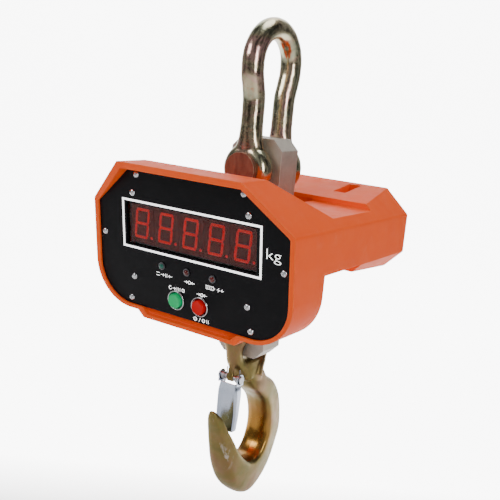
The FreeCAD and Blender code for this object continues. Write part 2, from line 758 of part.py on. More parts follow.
LAMPS = [(d.lamp_first + d.lamp_pitch * i, -d.lamp_drop) for i in range(3)]
BUTTONS = {"recall": (-d.button_half, -d.button_drop), "tare": (d.button_half, -d.button_drop)}
BOARD_SCREWS = [(d.post_x * s, z) for s in (-1, 1) for z in (d.post_top_z, -d.post_base_z)]


def build_panel():
    outer = [(place_at, d.screw_radius + 0.2) for place_at in panel_screw_places()]
    inner = [(place_at, d.screw_radius + 0.2) for place_at in BOARD_SCREWS]
    lamps = [(place_at, d.lamp_holder_radius - 0.6) for place_at in LAMPS]
    rings = [(place_at, d.cap_radius + 1.4) for place_at in BUTTONS.values()]
    plate = panel_sheet("front_panel", 0, d.panel_thick, d.fit_gap, outer + inner + lamps + rings)
    sketch = new_sketch(plate, "XZ_Plane")
    draw_polygon(sketch, box_corners(-d.window_half, d.window_half, d.window_base, d.window_top))
    pocket(plate, sketch, both_ways=True)
    on_panel(plate, "front_panel")
    gasket = panel_sheet("panel_gasket", d.panel_thick, d.gasket_thick, d.fit_gap + 0.5,
                         [(place_at, 2.4) for place_at in panel_screw_places()])
    sketch = new_sketch(gasket, "XZ_Plane")
    draw_polygon(sketch, both_sides([(70, 64), (108, 30), (108, -30), (72, -72)]))
    pocket(gasket, sketch, both_ways=True)
    on_panel(gasket, "panel_gasket")
    back = d.panel_thick
    lap = 3
    window = block((-d.window_half - lap, back, d.window_base - lap),
                   (d.window_half + lap, back + 2, d.window_top + lap))
    on_panel(group([window]), "display_window")
    line = d.frame_line
    outside = block((-d.frame_left, -0.4, d.frame_base), (d.frame_right, 0, d.frame_top))
    inside = block((line - d.frame_left, -0.4, d.frame_base + line),
                   (d.frame_right - line, 0, d.frame_top - line))
    on_panel(cut(outside, [inside]), "window_frame_print")
    screws = [panel_screw(x, z, 0, Y_AXIS, 15) for x, z in panel_screw_places()]
    on_panel(group(screws), "panel_screws")
    screws = [panel_screw(x, z, 0, Y_AXIS, 9) for x, z in BOARD_SCREWS]
    on_panel(group(screws), "board_screws")


def build_display():
    """The digit blocks on their board, which hangs on four standoffs behind the panel."""
    back = d.panel_thick
    board_face = d.board_gap
    posts = []
    for x, z in BOARD_SCREWS:
        post = cylinder(4, board_face - back, (x, back, z))
        bore = cylinder(d.screw_radius + 0.05, 7, (x, back, z))
        posts.append(cut(post, [bore]))
    on_panel(group(posts), "standoffs")
    rear = board_face + d.board_thick
    screws = []
    for x, z in BOARD_SCREWS:
        head = cylinder(3.2, 1.6, (x, rear, z))
        screws.append(head)
    on_panel(group(screws), "standoff_screws")
    modules = []
    digits = []
    for i in range(5):
        x = d.digit_first + d.digit_pitch * i
        half = (d.digit_pitch.value - 0.5) / 2
        module = block((x - half, back + 2.3, d.digit_base), (x + half, board_face, d.digit_top))
        modules.append(module)
        digits.append(digit_segments(x, back + 2.3))
    on_panel(group(modules), "digit_modules")
    on_panel(group(digits), "digit_segments")
    board = block((-85, board_face, -62), (85, rear, 57))
    holes = [cylinder(8, 4, (x, board_face - 1, z)) for x, z in BUTTONS.values()]
    on_panel(cut(board, holes), "display_board")
    chips = []
    for x, z, wide, tall in ((-52, -8, 22, 14), (-10, -8, 30, 12), (42, -8, 22, 14), (-55, -38, 26, 10),
                             (50, -40, 12, 24)):
        chips.append(block((x - wide / 2, rear, z - tall / 2), (x + wide / 2, rear + 2.6, z + tall / 2)))
    on_panel(group(chips), "display_chips")


def digit_segments(x, face):
    """Seven leaning bars and a point, standing a little in front of a digit block."""
    proud = 0.25
    bar = d.segment_bar.value
    half_wide = d.segment_wide.value / 2
    half_tall = d.segment_tall.value / 2
    lean = math.tan(math.radians(d.segment_lean.value))
    gap = 0.5
    middle = x.value
    centre = d.segment_height.value
    bars = []

    def leaning(points):
        corners = [Vector(middle + u + w * lean, face.value - proud, centre + w) for u, w in points]
        wire = Part.makePolygon(corners + corners[:1])
        bars.append(Part.Face(wire).extrude(Vector(0, proud, 0)))

    for w in (-half_tall + bar / 2, 0, half_tall - bar / 2):
        run = half_wide - bar / 2 - gap
        leaning([(-run - bar / 2, w), (-run, w + bar / 2), (run, w + bar / 2),
                 (run + bar / 2, w), (run, w - bar / 2), (-run, w - bar / 2)])
    for u in (-half_wide + bar / 2, half_wide - bar / 2):
        for low, high in ((-half_tall + bar / 2 + gap, -gap), (gap, half_tall - bar / 2 - gap)):
            leaning([(u, low), (u + bar / 2, low + bar / 2), (u + bar / 2, high - bar / 2),
                     (u, high), (u - bar / 2, high - bar / 2), (u - bar / 2, low + bar / 2)])
    point_at = Vector(middle + d.point_right.value, face.value - proud, d.point_low.value)
    point = Part.makeCylinder(1.6, proud, point_at, Y_AXIS)
    feature = doc.addObject("Part::Feature", "segments")
    feature.Shape = Part.makeCompound(bars + [point])
    return feature


def build_lamps():
    holders = []
    lamps = []
    for x, z in LAMPS:
        flange = cylinder(d.lamp_holder_radius, 1.2, (x, -1.2, z))
        barrel = cylinder(d.lamp_holder_radius - 0.7, 7, (x, 0, z))
        bore = cylinder(d.lamp_radius + 0.05, 8.2, (x, -1.2, z))
        holders.append(cut(fuse([flange, barrel]), [bore]))
        lens = cylinder(d.lamp_radius, 8.5, (x, -0.6, z))
        dome = doc.addObject("Part::Sphere", "dome")
        bind(dome, "Radius", d.lamp_radius)
        place(dome, (x, -0.6, z))
        legs = [cylinder(0.3, 5.3, (x + s * 1.2, 7.9, z)) for s in (-1, 1)]
        lamps.append(fuse([lens, dome] + legs))
    on_panel(group(holders), "lamp_holders")
    on_panel(group(lamps), "lamps")


def build_buttons():
    """Each key: a ring in the panel, a sliding cap and the switch body behind it."""
    for name, (x, z) in BUTTONS.items():
        ring_front = 2.2
        tube_end = 12.5
        rim = cylinder(d.ring_radius, ring_front, (x, -ring_front, z))
        tube = cylinder(d.cap_radius + 1.2, tube_end, (x, 0, z))
        bore = cylinder(d.cap_radius + 0.05, tube_end + ring_front, (x, -ring_front, z))
        on_panel(cut(fuse([rim, tube]), [bore]), name + "_bezel")
        nut = cylinder(12.2, 2.5, (x, d.panel_thick, z))
        nut_bore = cylinder(d.cap_radius + 1.2, 2.5, (x, d.panel_thick, z))
        on_panel(cut(nut, [nut_bore]), name + "_nut")
        cap = cylinder(d.cap_radius, d.cap_proud + 5.6, (x, -d.cap_proud, z))
        dish = cylinder(d.cap_radius - 1.2, 0.5, (x, -d.cap_proud, z))
        stem = cylinder(2, 5, (x, 5.6, z))
        on_panel(fuse([cut(cap, [dish]), stem]), name + "_button")
        case_front = 8.4
        case = cylinder(7.6, 14, (x, case_front, z))
        case_bore = cylinder(2.06, 14 - 3, (x, case_front, z))
        terminals = [block((x - 0.4 + s * 3, case_front + 14, z - 1.2), (x + 0.4 + s * 3, 28, z + 1.2))
                     for s in (-1, 1)]
        on_panel(fuse([cut(case, [case_bore])] + terminals), name + "_switch")


# ---------------------------------------------------------------- inside the housing

def build_electronics():
    """The weighing board behind the display, and the lead from the load cell."""
    face, thick = 44, 1.6
    posts = []
    for x in (-52, 52):
        for z in (-52, -12):
            posts.append(cylinder(3, 56 - face - thick, (x, face + thick, z)))
    in_housing(group(posts), "weighing_board_posts")
    in_housing(group([block((-60, face, -60), (60, face + thick, -4))]), "weighing_board")
    parts = []
    for x, z, wide, tall, high in ((-30, -20, 16, 16, 3), (5, -22, 24, 10, 4), (36, -24, 14, 14, 9),
                                   (-32, -46, 30, 8, 7), (20, -46, 20, 10, 5)):
        parts.append(block((x - wide / 2, face - high, z - tall / 2), (x + wide / 2, face, z + tall / 2)))
    in_housing(group(parts), "weighing_board_chips")


def build_battery():
    """A sealed battery on a strap behind the waist."""
    start = d.trough_end + d.slot_reach + 4
    low = BATTERY_LOW
    half_long = d.battery_long / 2
    case = block((-half_long, start, low),
                 (half_long, start + d.battery_deep, low + d.battery_tall))
    in_housing(group([case]), "battery")
    strap_thick = 1.5
    top = block((-62, start + 20, low + d.battery_tall), (62, start + 44, low + d.battery_tall + strap_thick))
    sides = [block((x, start + 20, low + 1), (x + strap_thick, start + 44, low + d.battery_tall))
             for x in (-half_long - strap_thick, half_long)]
    feet = [block((x, start + 20, low), (x + 11, start + 44, low + strap_thick)) for x in (-62, 51)]
    in_housing(fuse([top] + sides + feet), "battery_strap")
    back = start + d.battery_deep
    tabs = [block((x, back, low + d.battery_tall - 9), (x + 6, back + 0.8, low + d.battery_tall - 3))
            for x in (-38, 32)]
    in_housing(group(tabs), "battery_terminals")


def build_signal_lead():
    """The cell's lead runs straight forward into the display box."""
    radius = 2.4
    start = -88
    gland_long = 6
    cell_face = -d.cell_thick / 2
    z = 15 - d.panel_depth
    lead = cylinder(radius, cell_face - start, (0, start, z))
    gland_body = cylinder(6.5, gland_long, (0, cell_face - gland_long, z))
    gland_bore = cylinder(radius, gland_long, (0, cell_face - gland_long, z))
    node(cut(gland_body, [gland_bore]), "lead_gland")
    node(group([lead]), "signal_lead")


# ---------------------------------------------------------------- hook

# Stations along the forged hook, tip first: bore-side point and outer point (y, and z below the
# hook pin), then the half widths at the bore side and at the outside.
HOOK_STATIONS = [
    ((-59, -97.5), (-63.5, -98.5), 4, 4),
    ((-55.5, -102), (-62.5, -105), 7.5, 6.5),
    ((-51, -108), (-59.5, -114), 10.5, 8.5),
    ((-44, -120.5), (-53.5, -130), 13, 11.5),
    ((-35, -134), (-47.5, -151), 15.5, 13.5),
    ((-22, -152.5), (-38.5, -179), 17.5, 15.5),
    ((-7, -168.5), (-24, -206), 18, 15.5),
    ((7, -178.5), (3, -227), 18, 14),
    ((21, -178.5), (27, -230.5), 18, 13),
    ((32, -168), (60, -209.5), 18, 12),
    ((38, -149), (82, -165), 18, 12),
    ((36.5, -128), (81, -136), 18, 12),
    ((28, -108), (73.5, -111), 18, 12.5),
    ((13, -94), (56, -88), 18, 14),
    ((0, -83.5), (36, -75), 18, 15),
    ((-8, -70), (27, -63), 15, 14),
]


def hook_section(inner, outer, near_half, far_half):
    """A closed egg-shaped outline between a bore-side point and an outer point."""
    start = Vector(0, *inner)
    run = Vector(0, *outer) - start
    half = [(0, 0), (0.03, 0.62 * near_half), (0.14, near_half), (0.5, 0.55 * near_half + 0.5 * far_half),
            (0.84, far_half), (0.97, 0.58 * far_half), (1, 0)]
    loop = half + [(along, -across) for along, across in half[-2:0:-1]]
    curve = Part.BSplineCurve()
    curve.interpolate(Points=[start + run * along + X_AXIS * across for along, across in loop],
                      PeriodicFlag=True)
    section = doc.addObject("Part::Feature", "hook_section")
    section.Shape = Part.Wire([curve.toShape()])
    place(section, HOOK_PIN)
    return section


def build_fork():
    """The hook's upper end: two arms that spread from a narrow neck to the eyes for the pin."""
    body = new_body("fork")
    eye, neck = d.arm_radius - 0.6, d.neck_half
    width = d.fork_gap + d.arm_thick * 2
    sketch = new_sketch(body, "XZ_Plane")
    draw_polygon(sketch, both_sides([(eye, 0), (eye, -6), (neck, -25), (neck, -40), (15, -56), (15, -70)]))
    pad(body, sketch, width, both_ways=True)
    sketch = new_sketch(body, "XZ_Plane")
    draw_circle(sketch, (0, 0), d.arm_radius)
    pad(body, sketch, width, both_ways=True)
    slot, low = d.fork_gap / 2, -d.slot_drop
    for outline in (
            [(-slot, 40), (-slot, low + 4), (4 - slot, low), (slot - 4, low), (slot, low + 4), (slot, 40)],
            [(-60, -24), (-37, -24), (-34, -36), (-22, -50), (-17, -57), (-17, -90), (-60, -90)],
            [(60, -24), (37, -24), (33, -38), (26, -52), (26, -90), (60, -90)]):
        sketch = new_sketch(body, "YZ_Plane")
        draw_polygon(sketch, outline)
        pocket(body, sketch, both_ways=True)
    place(body, HOOK_PIN)
    return body


def build_hook():
    sections = [hook_section(*station) for station in HOOK_STATIONS]
    forging = doc.addObject("Part::Loft", "forging")
    forging.Sections = sections
    forging.Solid = True
    x, y, z = LATCH_PIVOT
    half = d.lug_half
    lug = cylinder(d.lug_radius, half * 2, (-half, y, z), X_AXIS)
    web = block((-half, y, z - d.lug_radius), (half, y + 20, z + 14))
    reach = d.fork_gap / 2 + d.arm_thick + 1
    pin_hole = cylinder(d.hook_pin_radius + d.pin_play, reach * 2, (0, -reach, -d.hook_pin_depth))
    latch_hole = cylinder(d.latch_pin_radius, 60, (-30, y, z), X_AXIS)
    node(cut(fuse([build_fork(), forging, lug, web]), [pin_hole, latch_hole]), "hook")


def build_latch():
    """The pressed-steel safety latch, its pin and its spring."""
    half = d.latch_half
    front = -7
    body = new_body("latch")
    sketch = new_sketch(body, "YZ_Plane")
    shoulder = as_size(front) + d.latch_sheet
    draw_polygon(sketch, [(front, -5), (front, -d.latch_long + 4), (2, -d.latch_long + 4), (5.5, -14),
                          (7, -5), (7, 3), (3, 7), (-3, 7), (shoulder, 4), (shoulder, -5)])
    pad(body, sketch, half * 2, both_ways=True)
    sketch = new_sketch(body, "XY_Plane")
    inner = half - d.latch_sheet
    draw_polygon(sketch, box_corners(-inner, inner, shoulder, 30))
    pocket(body, sketch, both_ways=True)
    sketch = new_sketch(body, "YZ_Plane")
    draw_circle(sketch, (0, 0), d.latch_pin_radius + d.pin_play)
    shape = pocket(body, sketch, both_ways=True)
    round_edges(body, shape, runs_along(Z_AXIS, {"x": half.value, "y": front}), 1.4)
    place(body, LATCH_PIVOT)
    node(body, "latch")
    x, y, z = LATCH_PIVOT
    shank = cylinder(d.latch_pin_radius, half * 2 + 1, (-half - 0.5, y, z), X_AXIS)
    heads = [cylinder(4.6, 1.4, (-half - 1.7, y, z), X_AXIS), cylinder(4.6, 1.4, (half + 0.3, y, z), X_AXIS)]
    node(fuse([shank] + heads), "latch_pin")
    coils = []
    for side in (-1, 1):
        for step in range(3):
            coil = doc.addObject("Part::Torus", "coil")
            bind(coil, "Radius1", 4)
            bind(coil, "Radius2", 0.7)
            place(coil, ((9 + 1.3 * step) * side, y, z))
            coil.Placement = FreeCAD.Placement(coil.Placement.Base, Rotation(Y_AXIS, 90))
            coils.append(coil)
        coils.append(cylinder(0.7, 10, (9 * side, y + 4, z), Z_AXIS))
    node(fuse(coils), "latch_spring")


# ---------------------------------------------------------------- assembly

def export_nodes():
    """Check every object and write each node's solid to a STEP file."""
    doc.recompute()
    for thing in doc.Objects:
        if "Invalid" in thing.State or "Error" in thing.State:
            raise RuntimeError("object failed: " + thing.Label)
    os.makedirs("parts", exist_ok=True)
    for target in nodes:
        shape = target.Shape
        if shape.isNull() or not shape.isValid():
            raise RuntimeError("shape failed: " + target.Label)
        shape.exportStep("parts/%s.step" % target.Label)


build_shackle()
build_cross_pin("shackle", d.leg_half_gap + d.eye_thick / 2, d.shackle_pin_depth)
build_load_cell()
build_brackets()
build_signal_lead()
build_housing()
build_rear_cover()
build_panel()
build_display()
build_lamps()
build_buttons()
build_electronics()
build_battery()
build_hook()
build_cross_pin("hook", d.fork_gap / 2 + d.arm_thick, d.hook_pin_depth)
build_latch()
export_nodes()
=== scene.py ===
"""The looks of a hanging crane scale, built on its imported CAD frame. Blender 4.5, metres, +Z up."""

import math
import random

import bmesh
import bpy
import numpy as np
from mathutils import Matrix, Vector, noise


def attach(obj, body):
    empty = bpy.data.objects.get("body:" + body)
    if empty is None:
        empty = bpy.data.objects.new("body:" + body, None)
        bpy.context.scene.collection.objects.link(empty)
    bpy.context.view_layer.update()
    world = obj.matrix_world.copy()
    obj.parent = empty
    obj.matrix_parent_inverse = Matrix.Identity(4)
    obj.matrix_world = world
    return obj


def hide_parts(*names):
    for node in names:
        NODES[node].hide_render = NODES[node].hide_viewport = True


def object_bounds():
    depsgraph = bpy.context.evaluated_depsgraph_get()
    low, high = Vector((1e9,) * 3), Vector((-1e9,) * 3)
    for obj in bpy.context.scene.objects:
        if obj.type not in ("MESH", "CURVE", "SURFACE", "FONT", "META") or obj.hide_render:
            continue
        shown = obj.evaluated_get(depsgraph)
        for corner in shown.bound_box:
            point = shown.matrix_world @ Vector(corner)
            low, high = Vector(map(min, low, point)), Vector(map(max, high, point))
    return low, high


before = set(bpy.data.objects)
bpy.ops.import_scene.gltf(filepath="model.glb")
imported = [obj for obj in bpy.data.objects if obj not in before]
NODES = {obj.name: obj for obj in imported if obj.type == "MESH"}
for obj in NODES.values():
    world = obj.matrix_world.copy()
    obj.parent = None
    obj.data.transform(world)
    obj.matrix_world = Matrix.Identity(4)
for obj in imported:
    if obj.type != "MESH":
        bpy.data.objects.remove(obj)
CAD_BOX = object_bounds()
MM = 0.001
TILT = math.radians(7.1)
PANEL_MIDDLE = Vector((0, -130, -224)) * MM
random.seed(4)


# ---------------------------------------------------------------- materials

class Graph:
    """A material being built: nodes are added by type and wired by name."""

    def __init__(self, name):
        self.material = bpy.data.materials.new(name)
        self.material.use_nodes = True
        self.tree = self.material.node_tree
        self.tree.nodes.clear()
        self.out = self.add("ShaderNodeOutputMaterial")
        self.bsdf = self.add("ShaderNodeBsdfPrincipled")
        self.link(self.bsdf, "BSDF", self.out, "Surface")
        coords = self.add("ShaderNodeTexCoord")
        self.place = coords.outputs["Object"]

    def add(self, kind, **values):
        node = self.tree.nodes.new(kind)
        for key, value in values.items():
            setattr(node, key, value)
        return node

    def link(self, node, output, target, socket):
        self.tree.links.new(node.outputs[output], target.inputs[socket])

    def put(self, target, socket, value):
        """Set an input, or wire an output into it."""
        if isinstance(value, bpy.types.NodeSocket):
            self.tree.links.new(value, target.inputs[socket])
        elif hasattr(value, "__len__") and len(value) == 3 and target.inputs[socket].type == "RGBA":
            target.inputs[socket].default_value = (*value, 1)
        else:
            target.inputs[socket].default_value = value

    def stretch(self, scale):
        node = self.add("ShaderNodeMapping")
        self.put(node, "Vector", self.place)
        node.inputs["Scale"].default_value = scale
        return node.outputs["Vector"]

    def noise(self, scale, detail=4, rough=0.55, warp=0.0, stretch=None):
        node = self.add("ShaderNodeTexNoise")
        self.put(node, "Vector", self.stretch(stretch) if stretch else self.place)
        node.inputs["Scale"].default_value = scale
        node.inputs["Detail"].default_value = detail
        node.inputs["Roughness"].default_value = rough
        node.inputs["Distortion"].default_value = warp
        return node.outputs["Fac"]

    def ramp(self, value, *stops):
        """A colour or grey ramp; each stop is (position, colour or grey)."""
        node = self.add("ShaderNodeValToRGB")
        self.put(node, "Fac", value)
        points = node.color_ramp.elements
        while len(points) < len(stops):
            points.new(0.5)
        for point, (position, colour) in zip(points, stops):
            point.position = position
            colour = colour if hasattr(colour, "__len__") else (colour, colour, colour)
            point.color = (*colour, 1)
        return node.outputs["Color"]

    def mix(self, share, first, second, blend="MIX"):
        node = self.add("ShaderNodeMix", data_type="RGBA", blend_type=blend)
        for socket, value in ((0, share), (6, first), (7, second)):
            if isinstance(value, bpy.types.NodeSocket):
                self.tree.links.new(value, node.inputs[socket])
            elif socket == 0:
                node.inputs[0].default_value = value
            else:
                node.inputs[socket].default_value = (*value, 1)
        return node.outputs[2]

    def maths(self, operation, first, second=None):
        node = self.add("ShaderNodeMath", operation=operation)
        for socket, value in enumerate((first, second)):
            if value is not None:
                self.put(node, socket, value)
        return node.outputs[0]

    def bump(self, height, distance, strength=1.0, under=None):
        node = self.add("ShaderNodeBump")
        node.inputs["Distance"].default_value = distance
        node.inputs["Strength"].default_value = strength
        self.put(node, "Height", height)
        if under is not None:
            self.put(node, "Normal", under)
        return node.outputs["Normal"]

    def near(self, point, inner, outer):
        """White within a distance of a point given in millimetres, fading to black."""
        gap = self.add("ShaderNodeVectorMath", operation="DISTANCE")
        self.put(gap, 0, self.place)
        gap.inputs[1].default_value = Vector(point) * MM
        share = self.add("ShaderNodeMapRange")
        self.put(share, "Value", gap.outputs["Value"])
        share.inputs["From Min"].default_value = inner * MM
        share.inputs["From Max"].default_value = outer * MM
        share.inputs["To Min"].default_value = 1
        share.inputs["To Max"].default_value = 0
        return share.outputs["Result"]

    def soft_edges(self, radius):
        """Normals that round every hard edge by a small radius."""
        node = self.add("ShaderNodeBevel", samples=6)
        node.inputs["Radius"].default_value = radius
        return node.outputs["Normal"]

    def edge_wear(self, radius):
        """White where an edge sticks out, from how far the rounded normal turns."""
        bevel = self.add("ShaderNodeBevel", samples=6)
        bevel.inputs["Radius"].default_value = radius
        geometry = self.add("ShaderNodeNewGeometry")
        dot = self.add("ShaderNodeVectorMath", operation="DOT_PRODUCT")
        self.link(bevel, "Normal", dot, 0)
        self.link(geometry, "Normal", dot, 1)
        turned = self.maths("SUBTRACT", 1.0, dot.outputs["Value"])
        return self.ramp(turned, (0.02, 0), (0.12, 1))

    def shade(self, **values):
        for key, value in values.items():
            self.put(self.bsdf, key.replace("_", " "), value)
        return self.material


def srgb(*levels):
    """Linear colour from display levels of 0 to 255."""
    return tuple((level / 255 / 12.92) if level <= 10 else ((level / 255 + 0.055) / 1.055) ** 2.4
                 for level in levels)


def orange_paint(name):
    """Semi-gloss powder coat: fine orange peel, faint mottling, paler where it is rubbed."""
    g = Graph(name)
    tint = g.ramp(g.noise(9, 5, 0.6), (0.3, srgb(236, 82, 24)), (0.55, srgb(240, 88, 28)),
                  (0.8, srgb(244, 96, 34)))
    dust = g.ramp(g.noise(42, 6, 0.7), (0.55, 0), (0.85, 1))
    tint = g.mix(g.maths("MULTIPLY", dust, 0.06), tint, srgb(236, 190, 165))
    edges = g.maths("MULTIPLY", g.edge_wear(1.6 * MM), 0.35)
    tint = g.mix(edges, tint, srgb(250, 142, 84))
    peel = g.noise(700, 2, 0.5)
    broad = g.noise(38, 3, 0.5)
    height = g.maths("ADD", g.maths("MULTIPLY", peel, 0.6), broad)
    normal = g.bump(height, 0.0003, 0.35, g.soft_edges(1.3 * MM))
    rough = g.ramp(g.noise(60, 4, 0.6), (0.3, 0.46), (0.7, 0.56))
    return g.shade(Base_Color=tint, Roughness=rough, Normal=normal, Specular_IOR_Level=0.06)


def metal(name, light, dark, rough=(0.25, 0.4), grain=None, grain_scale=300, bump=0.15, metallic=1.0,
          dents=0.0, edge=None, soft=0.5):
    """A metal with patchy tone, optional stretched grain, small dents and rubbed edges."""
    g = Graph(name)
    patch = g.noise(26, 6, 0.62, 0.4)
    tone = g.ramp(patch, (0.3, dark), (0.7, light))
    fine = g.noise(grain_scale, 5, 0.6, 0, grain)
    tone = g.mix(g.maths("MULTIPLY", g.ramp(fine, (0.35, 0), (0.7, 1)), 0.25), tone, dark)
    if edge:
        tone = g.mix(g.maths("MULTIPLY", g.edge_wear(0.8 * MM), 0.7), tone, edge)
    height = fine
    if dents:
        height = g.maths("ADD", fine, g.maths("MULTIPLY", g.noise(55, 3, 0.5, 0.6), dents))
    normal = g.bump(height, 0.0004, bump, g.soft_edges(soft * MM))
    sheen = g.ramp(g.noise(120, 5, 0.6, 0, grain), (0.3, rough[0]), (0.7, rough[1]))
    return g.shade(Base_Color=tone, Metallic=metallic, Roughness=sheen, Normal=normal)


def yellow_zinc(name, rough, dents, hammer, soot, tints, worn=(), scuffed=()):
    """Yellow zinc passivate on a forging, with polished and scuffed spots at given places."""
    g = Graph(name)
    drift = g.noise(17, 5, 0.55, 1.2)
    tone = g.ramp(drift, (0.30, tints[0]), (0.42, tints[1]), (0.52, tints[2]), (0.62, tints[3]),
                  (0.74, tints[4]))
    film = g.noise(60, 4, 0.6, 0.8)
    tone = g.mix(g.maths("MULTIPLY", g.ramp(film, (0.45, 0), (0.75, 1)), 0.2), tone, tints[2])
    dirt = g.ramp(g.noise(95, 6, 0.7), (0.62, 0), (0.8, 1))
    tone = g.mix(g.maths("MULTIPLY", dirt, soot), tone, srgb(96, 88, 62))
    tone = g.mix(g.maths("MULTIPLY", g.edge_wear(1.2 * MM), 0.4), tone, srgb(206, 196, 168))
    sheen = g.ramp(g.noise(75, 5, 0.65), (0.3, rough[0]), (0.7, rough[1]))
    for point, reach in worn:
        spot = g.maths("MULTIPLY", g.near(point, reach * 0.5, reach), 0.9)
        tone = g.mix(spot, tone, srgb(170, 122, 56))
        sheen = g.mix(spot, sheen, (0.25, 0.25, 0.25))
    for point, reach in scuffed:
        streak = g.ramp(g.noise(60, 5, 0.62, 0.3, (1, 1, 0.45)), (0.58, 0), (0.63, 1))
        spot = g.maths("MULTIPLY", streak, g.near(point, reach * 0.4, reach))
        tone = g.mix(g.maths("MULTIPLY", spot, 0.8), tone, srgb(200, 192, 184))
    scale = g.noise(130, 5, 0.62)
    wave = g.noise(34, 3, 0.5, 0.5)
    height = g.maths("ADD", g.maths("MULTIPLY", scale, 0.5), g.maths("MULTIPLY", wave, dents))
    normal = g.bump(height, 0.0009, hammer, g.soft_edges(0.7 * MM))
    return g.shade(Base_Color=tone, Metallic=1.0, Roughness=sheen, Normal=normal)


def plastic(name, colour, other, rough=(0.3, 0.45), bump=0.1, scale=900, soft=0.3, coat=0.0,
            glow=0.0, level=0.28):
    """Moulded plastic or rubber with a fine texture and slight mottling; glow gives it a painted glow, an
    emission in its own colour.
    """
    g = Graph(name)
    tone = g.ramp(g.noise(70, 4, 0.6), (0.3, colour), (0.75, other))
    normal = g.bump(g.noise(scale, 3, 0.6), 0.0002, bump, g.soft_edges(soft * MM))
    sheen = g.ramp(g.noise(40, 5, 0.65), (0.3, rough[0]), (0.7, rough[1]))
    # Emission in the part's own colour at strength glow: a painted glow wherever glow is above nought.
    return g.shade(Base_Color=tone, Roughness=sheen, Normal=normal, Coat_Weight=coat,
                   Coat_Roughness=0.08, Specular_IOR_Level=level, Emission_Color=tone,
                   Emission_Strength=glow)


def dark_window(name):
    """The tinted sheet over the digits: dark red, mostly clear, glossy."""
    g = Graph(name)
    smear = g.noise(30, 5, 0.6, 0.5)
    g.shade(Base_Color=g.ramp(smear, (0.3, srgb(232, 168, 160)), (0.7, srgb(240, 178, 170))),
            Roughness=g.ramp(smear, (0.3, 0.04), (0.7, 0.10)),
            Normal=g.bump(g.noise(500, 2), 0.0001, 0.05), Transmission_Weight=1.0, IOR=1.3)
    return g.material


def assign(names, material):
    for name in names.split():
        slots = NODES[name].data.materials
        slots.clear()
        slots.append(material)


ORANGE = orange_paint("orange_powder_coat")
BRIGHT = metal("bright_plated_steel", srgb(222, 224, 228), srgb(184, 186, 190), (0.12, 0.28), bump=0.05,
               edge=srgb(245, 245, 245))
ZINC = metal("zinc_plated_steel", srgb(200, 203, 208), srgb(150, 152, 158), (0.25, 0.42), (1, 1, 6),
             bump=0.12, dents=0.4, edge=srgb(235, 235, 235))
NICKEL = metal("cell_nickel", srgb(196, 188, 176), srgb(164, 156, 146), (0.46, 0.58), (30, 30, 2), 120,
               0.08, metallic=0.65, dents=0.3, edge=srgb(226, 222, 214), soft=0.8)
LATCH_SHEET = metal("latch_sheet", srgb(206, 214, 228), srgb(160, 170, 188), (0.10, 0.30), (6, 6, 1),
                    bump=0.1, dents=0.6, edge=srgb(245, 248, 252))
SHACKLE_ZINC = yellow_zinc("shackle_yellow_zinc", (0.14, 0.28), 1.4, 0.5, 0.2, (
    srgb(112, 128, 92), srgb(176, 176, 148), srgb(196, 180, 148), srgb(200, 156, 150), srgb(124, 134, 98)))
HOOK_ZINC = yellow_zinc("hook_yellow_zinc", (0.32, 0.5), 0.7, 0.3, 0.25, (
    srgb(112, 106, 62), srgb(122, 110, 64), srgb(130, 112, 70), srgb(134, 108, 76), srgb(118, 100, 68)),
    worn=(((0, 14, -468), 40), ((0, 24, -485), 34)), scuffed=(((0, -60, -428), 12), ((0, -44, -486), 26)))
PIN_HEAD = yellow_zinc("pin_head_rust", (0.5, 0.7), 0.9, 0.6, 0.3, (
    srgb(104, 76, 62), srgb(134, 92, 76), srgb(146, 102, 86), srgb(120, 76, 64), srgb(90, 66, 58)))
PANEL = plastic("panel_overlay", srgb(5, 4, 7), srgb(9, 8, 12), (0.36, 0.48), 0.12, 1400,
                level=0.12)
RUBBER = plastic("gasket_rubber", srgb(18, 18, 18), srgb(30, 30, 30), (0.6, 0.8), 0.3, 500)
BLACK = plastic("black_moulding", srgb(20, 20, 20), srgb(34, 34, 34), (0.4, 0.6), 0.2, 800)
BOARD = plastic("circuit_board", srgb(18, 66, 40), srgb(28, 84, 50), (0.3, 0.45), 0.2, 600)
LED_BLOCK = plastic("led_block", srgb(78, 22, 14), srgb(86, 28, 18), (0.3, 0.5), 0.1, 900)
LED_SEGMENT = plastic("led_segment", srgb(255, 24, 18), srgb(255, 34, 26), (0.25, 0.4), 0.1, 1200)
# Painted glow: the white print emits light at strength 2.2 though it is no lamp.
WHITE = plastic("white_print_painted_glow", srgb(244, 244, 244), srgb(250, 250, 250), (0.5, 0.6), 0.1, 1500, 0.1,
                glow=2.2)
# Painted glow: the green key emits a faint light at strength 0.12 though it is no lamp.
GREEN_KEY = plastic("green_key", srgb(0, 168, 96), srgb(0, 182, 106), (0.3, 0.4), 0.05, 600, 0.5, 0.05,
                    glow=0.12, level=0.15)
RED_KEY = plastic("red_key", srgb(190, 0, 0), srgb(202, 2, 0), (0.3, 0.4), 0.05, 600, 0.5, 0.05,
                  level=0.12)
GREEN_LENS = plastic("green_lamp_lens", srgb(16, 70, 58), srgb(28, 92, 78), (0.08, 0.16), 0.05, 600, 0.2, 0.6)
LENS = plastic("lamp_lens", srgb(70, 12, 10), srgb(96, 20, 16), (0.08, 0.16), 0.05, 600, 0.2, 0.6)
BATTERY = plastic("battery_case", srgb(36, 36, 38), srgb(50, 50, 52), (0.5, 0.65), 0.2, 500)
LAMP_RING = metal("lamp_ring", srgb(120, 120, 124), srgb(70, 70, 74), (0.3, 0.45), bump=0.05)
WINDOW = dark_window("tinted_window")

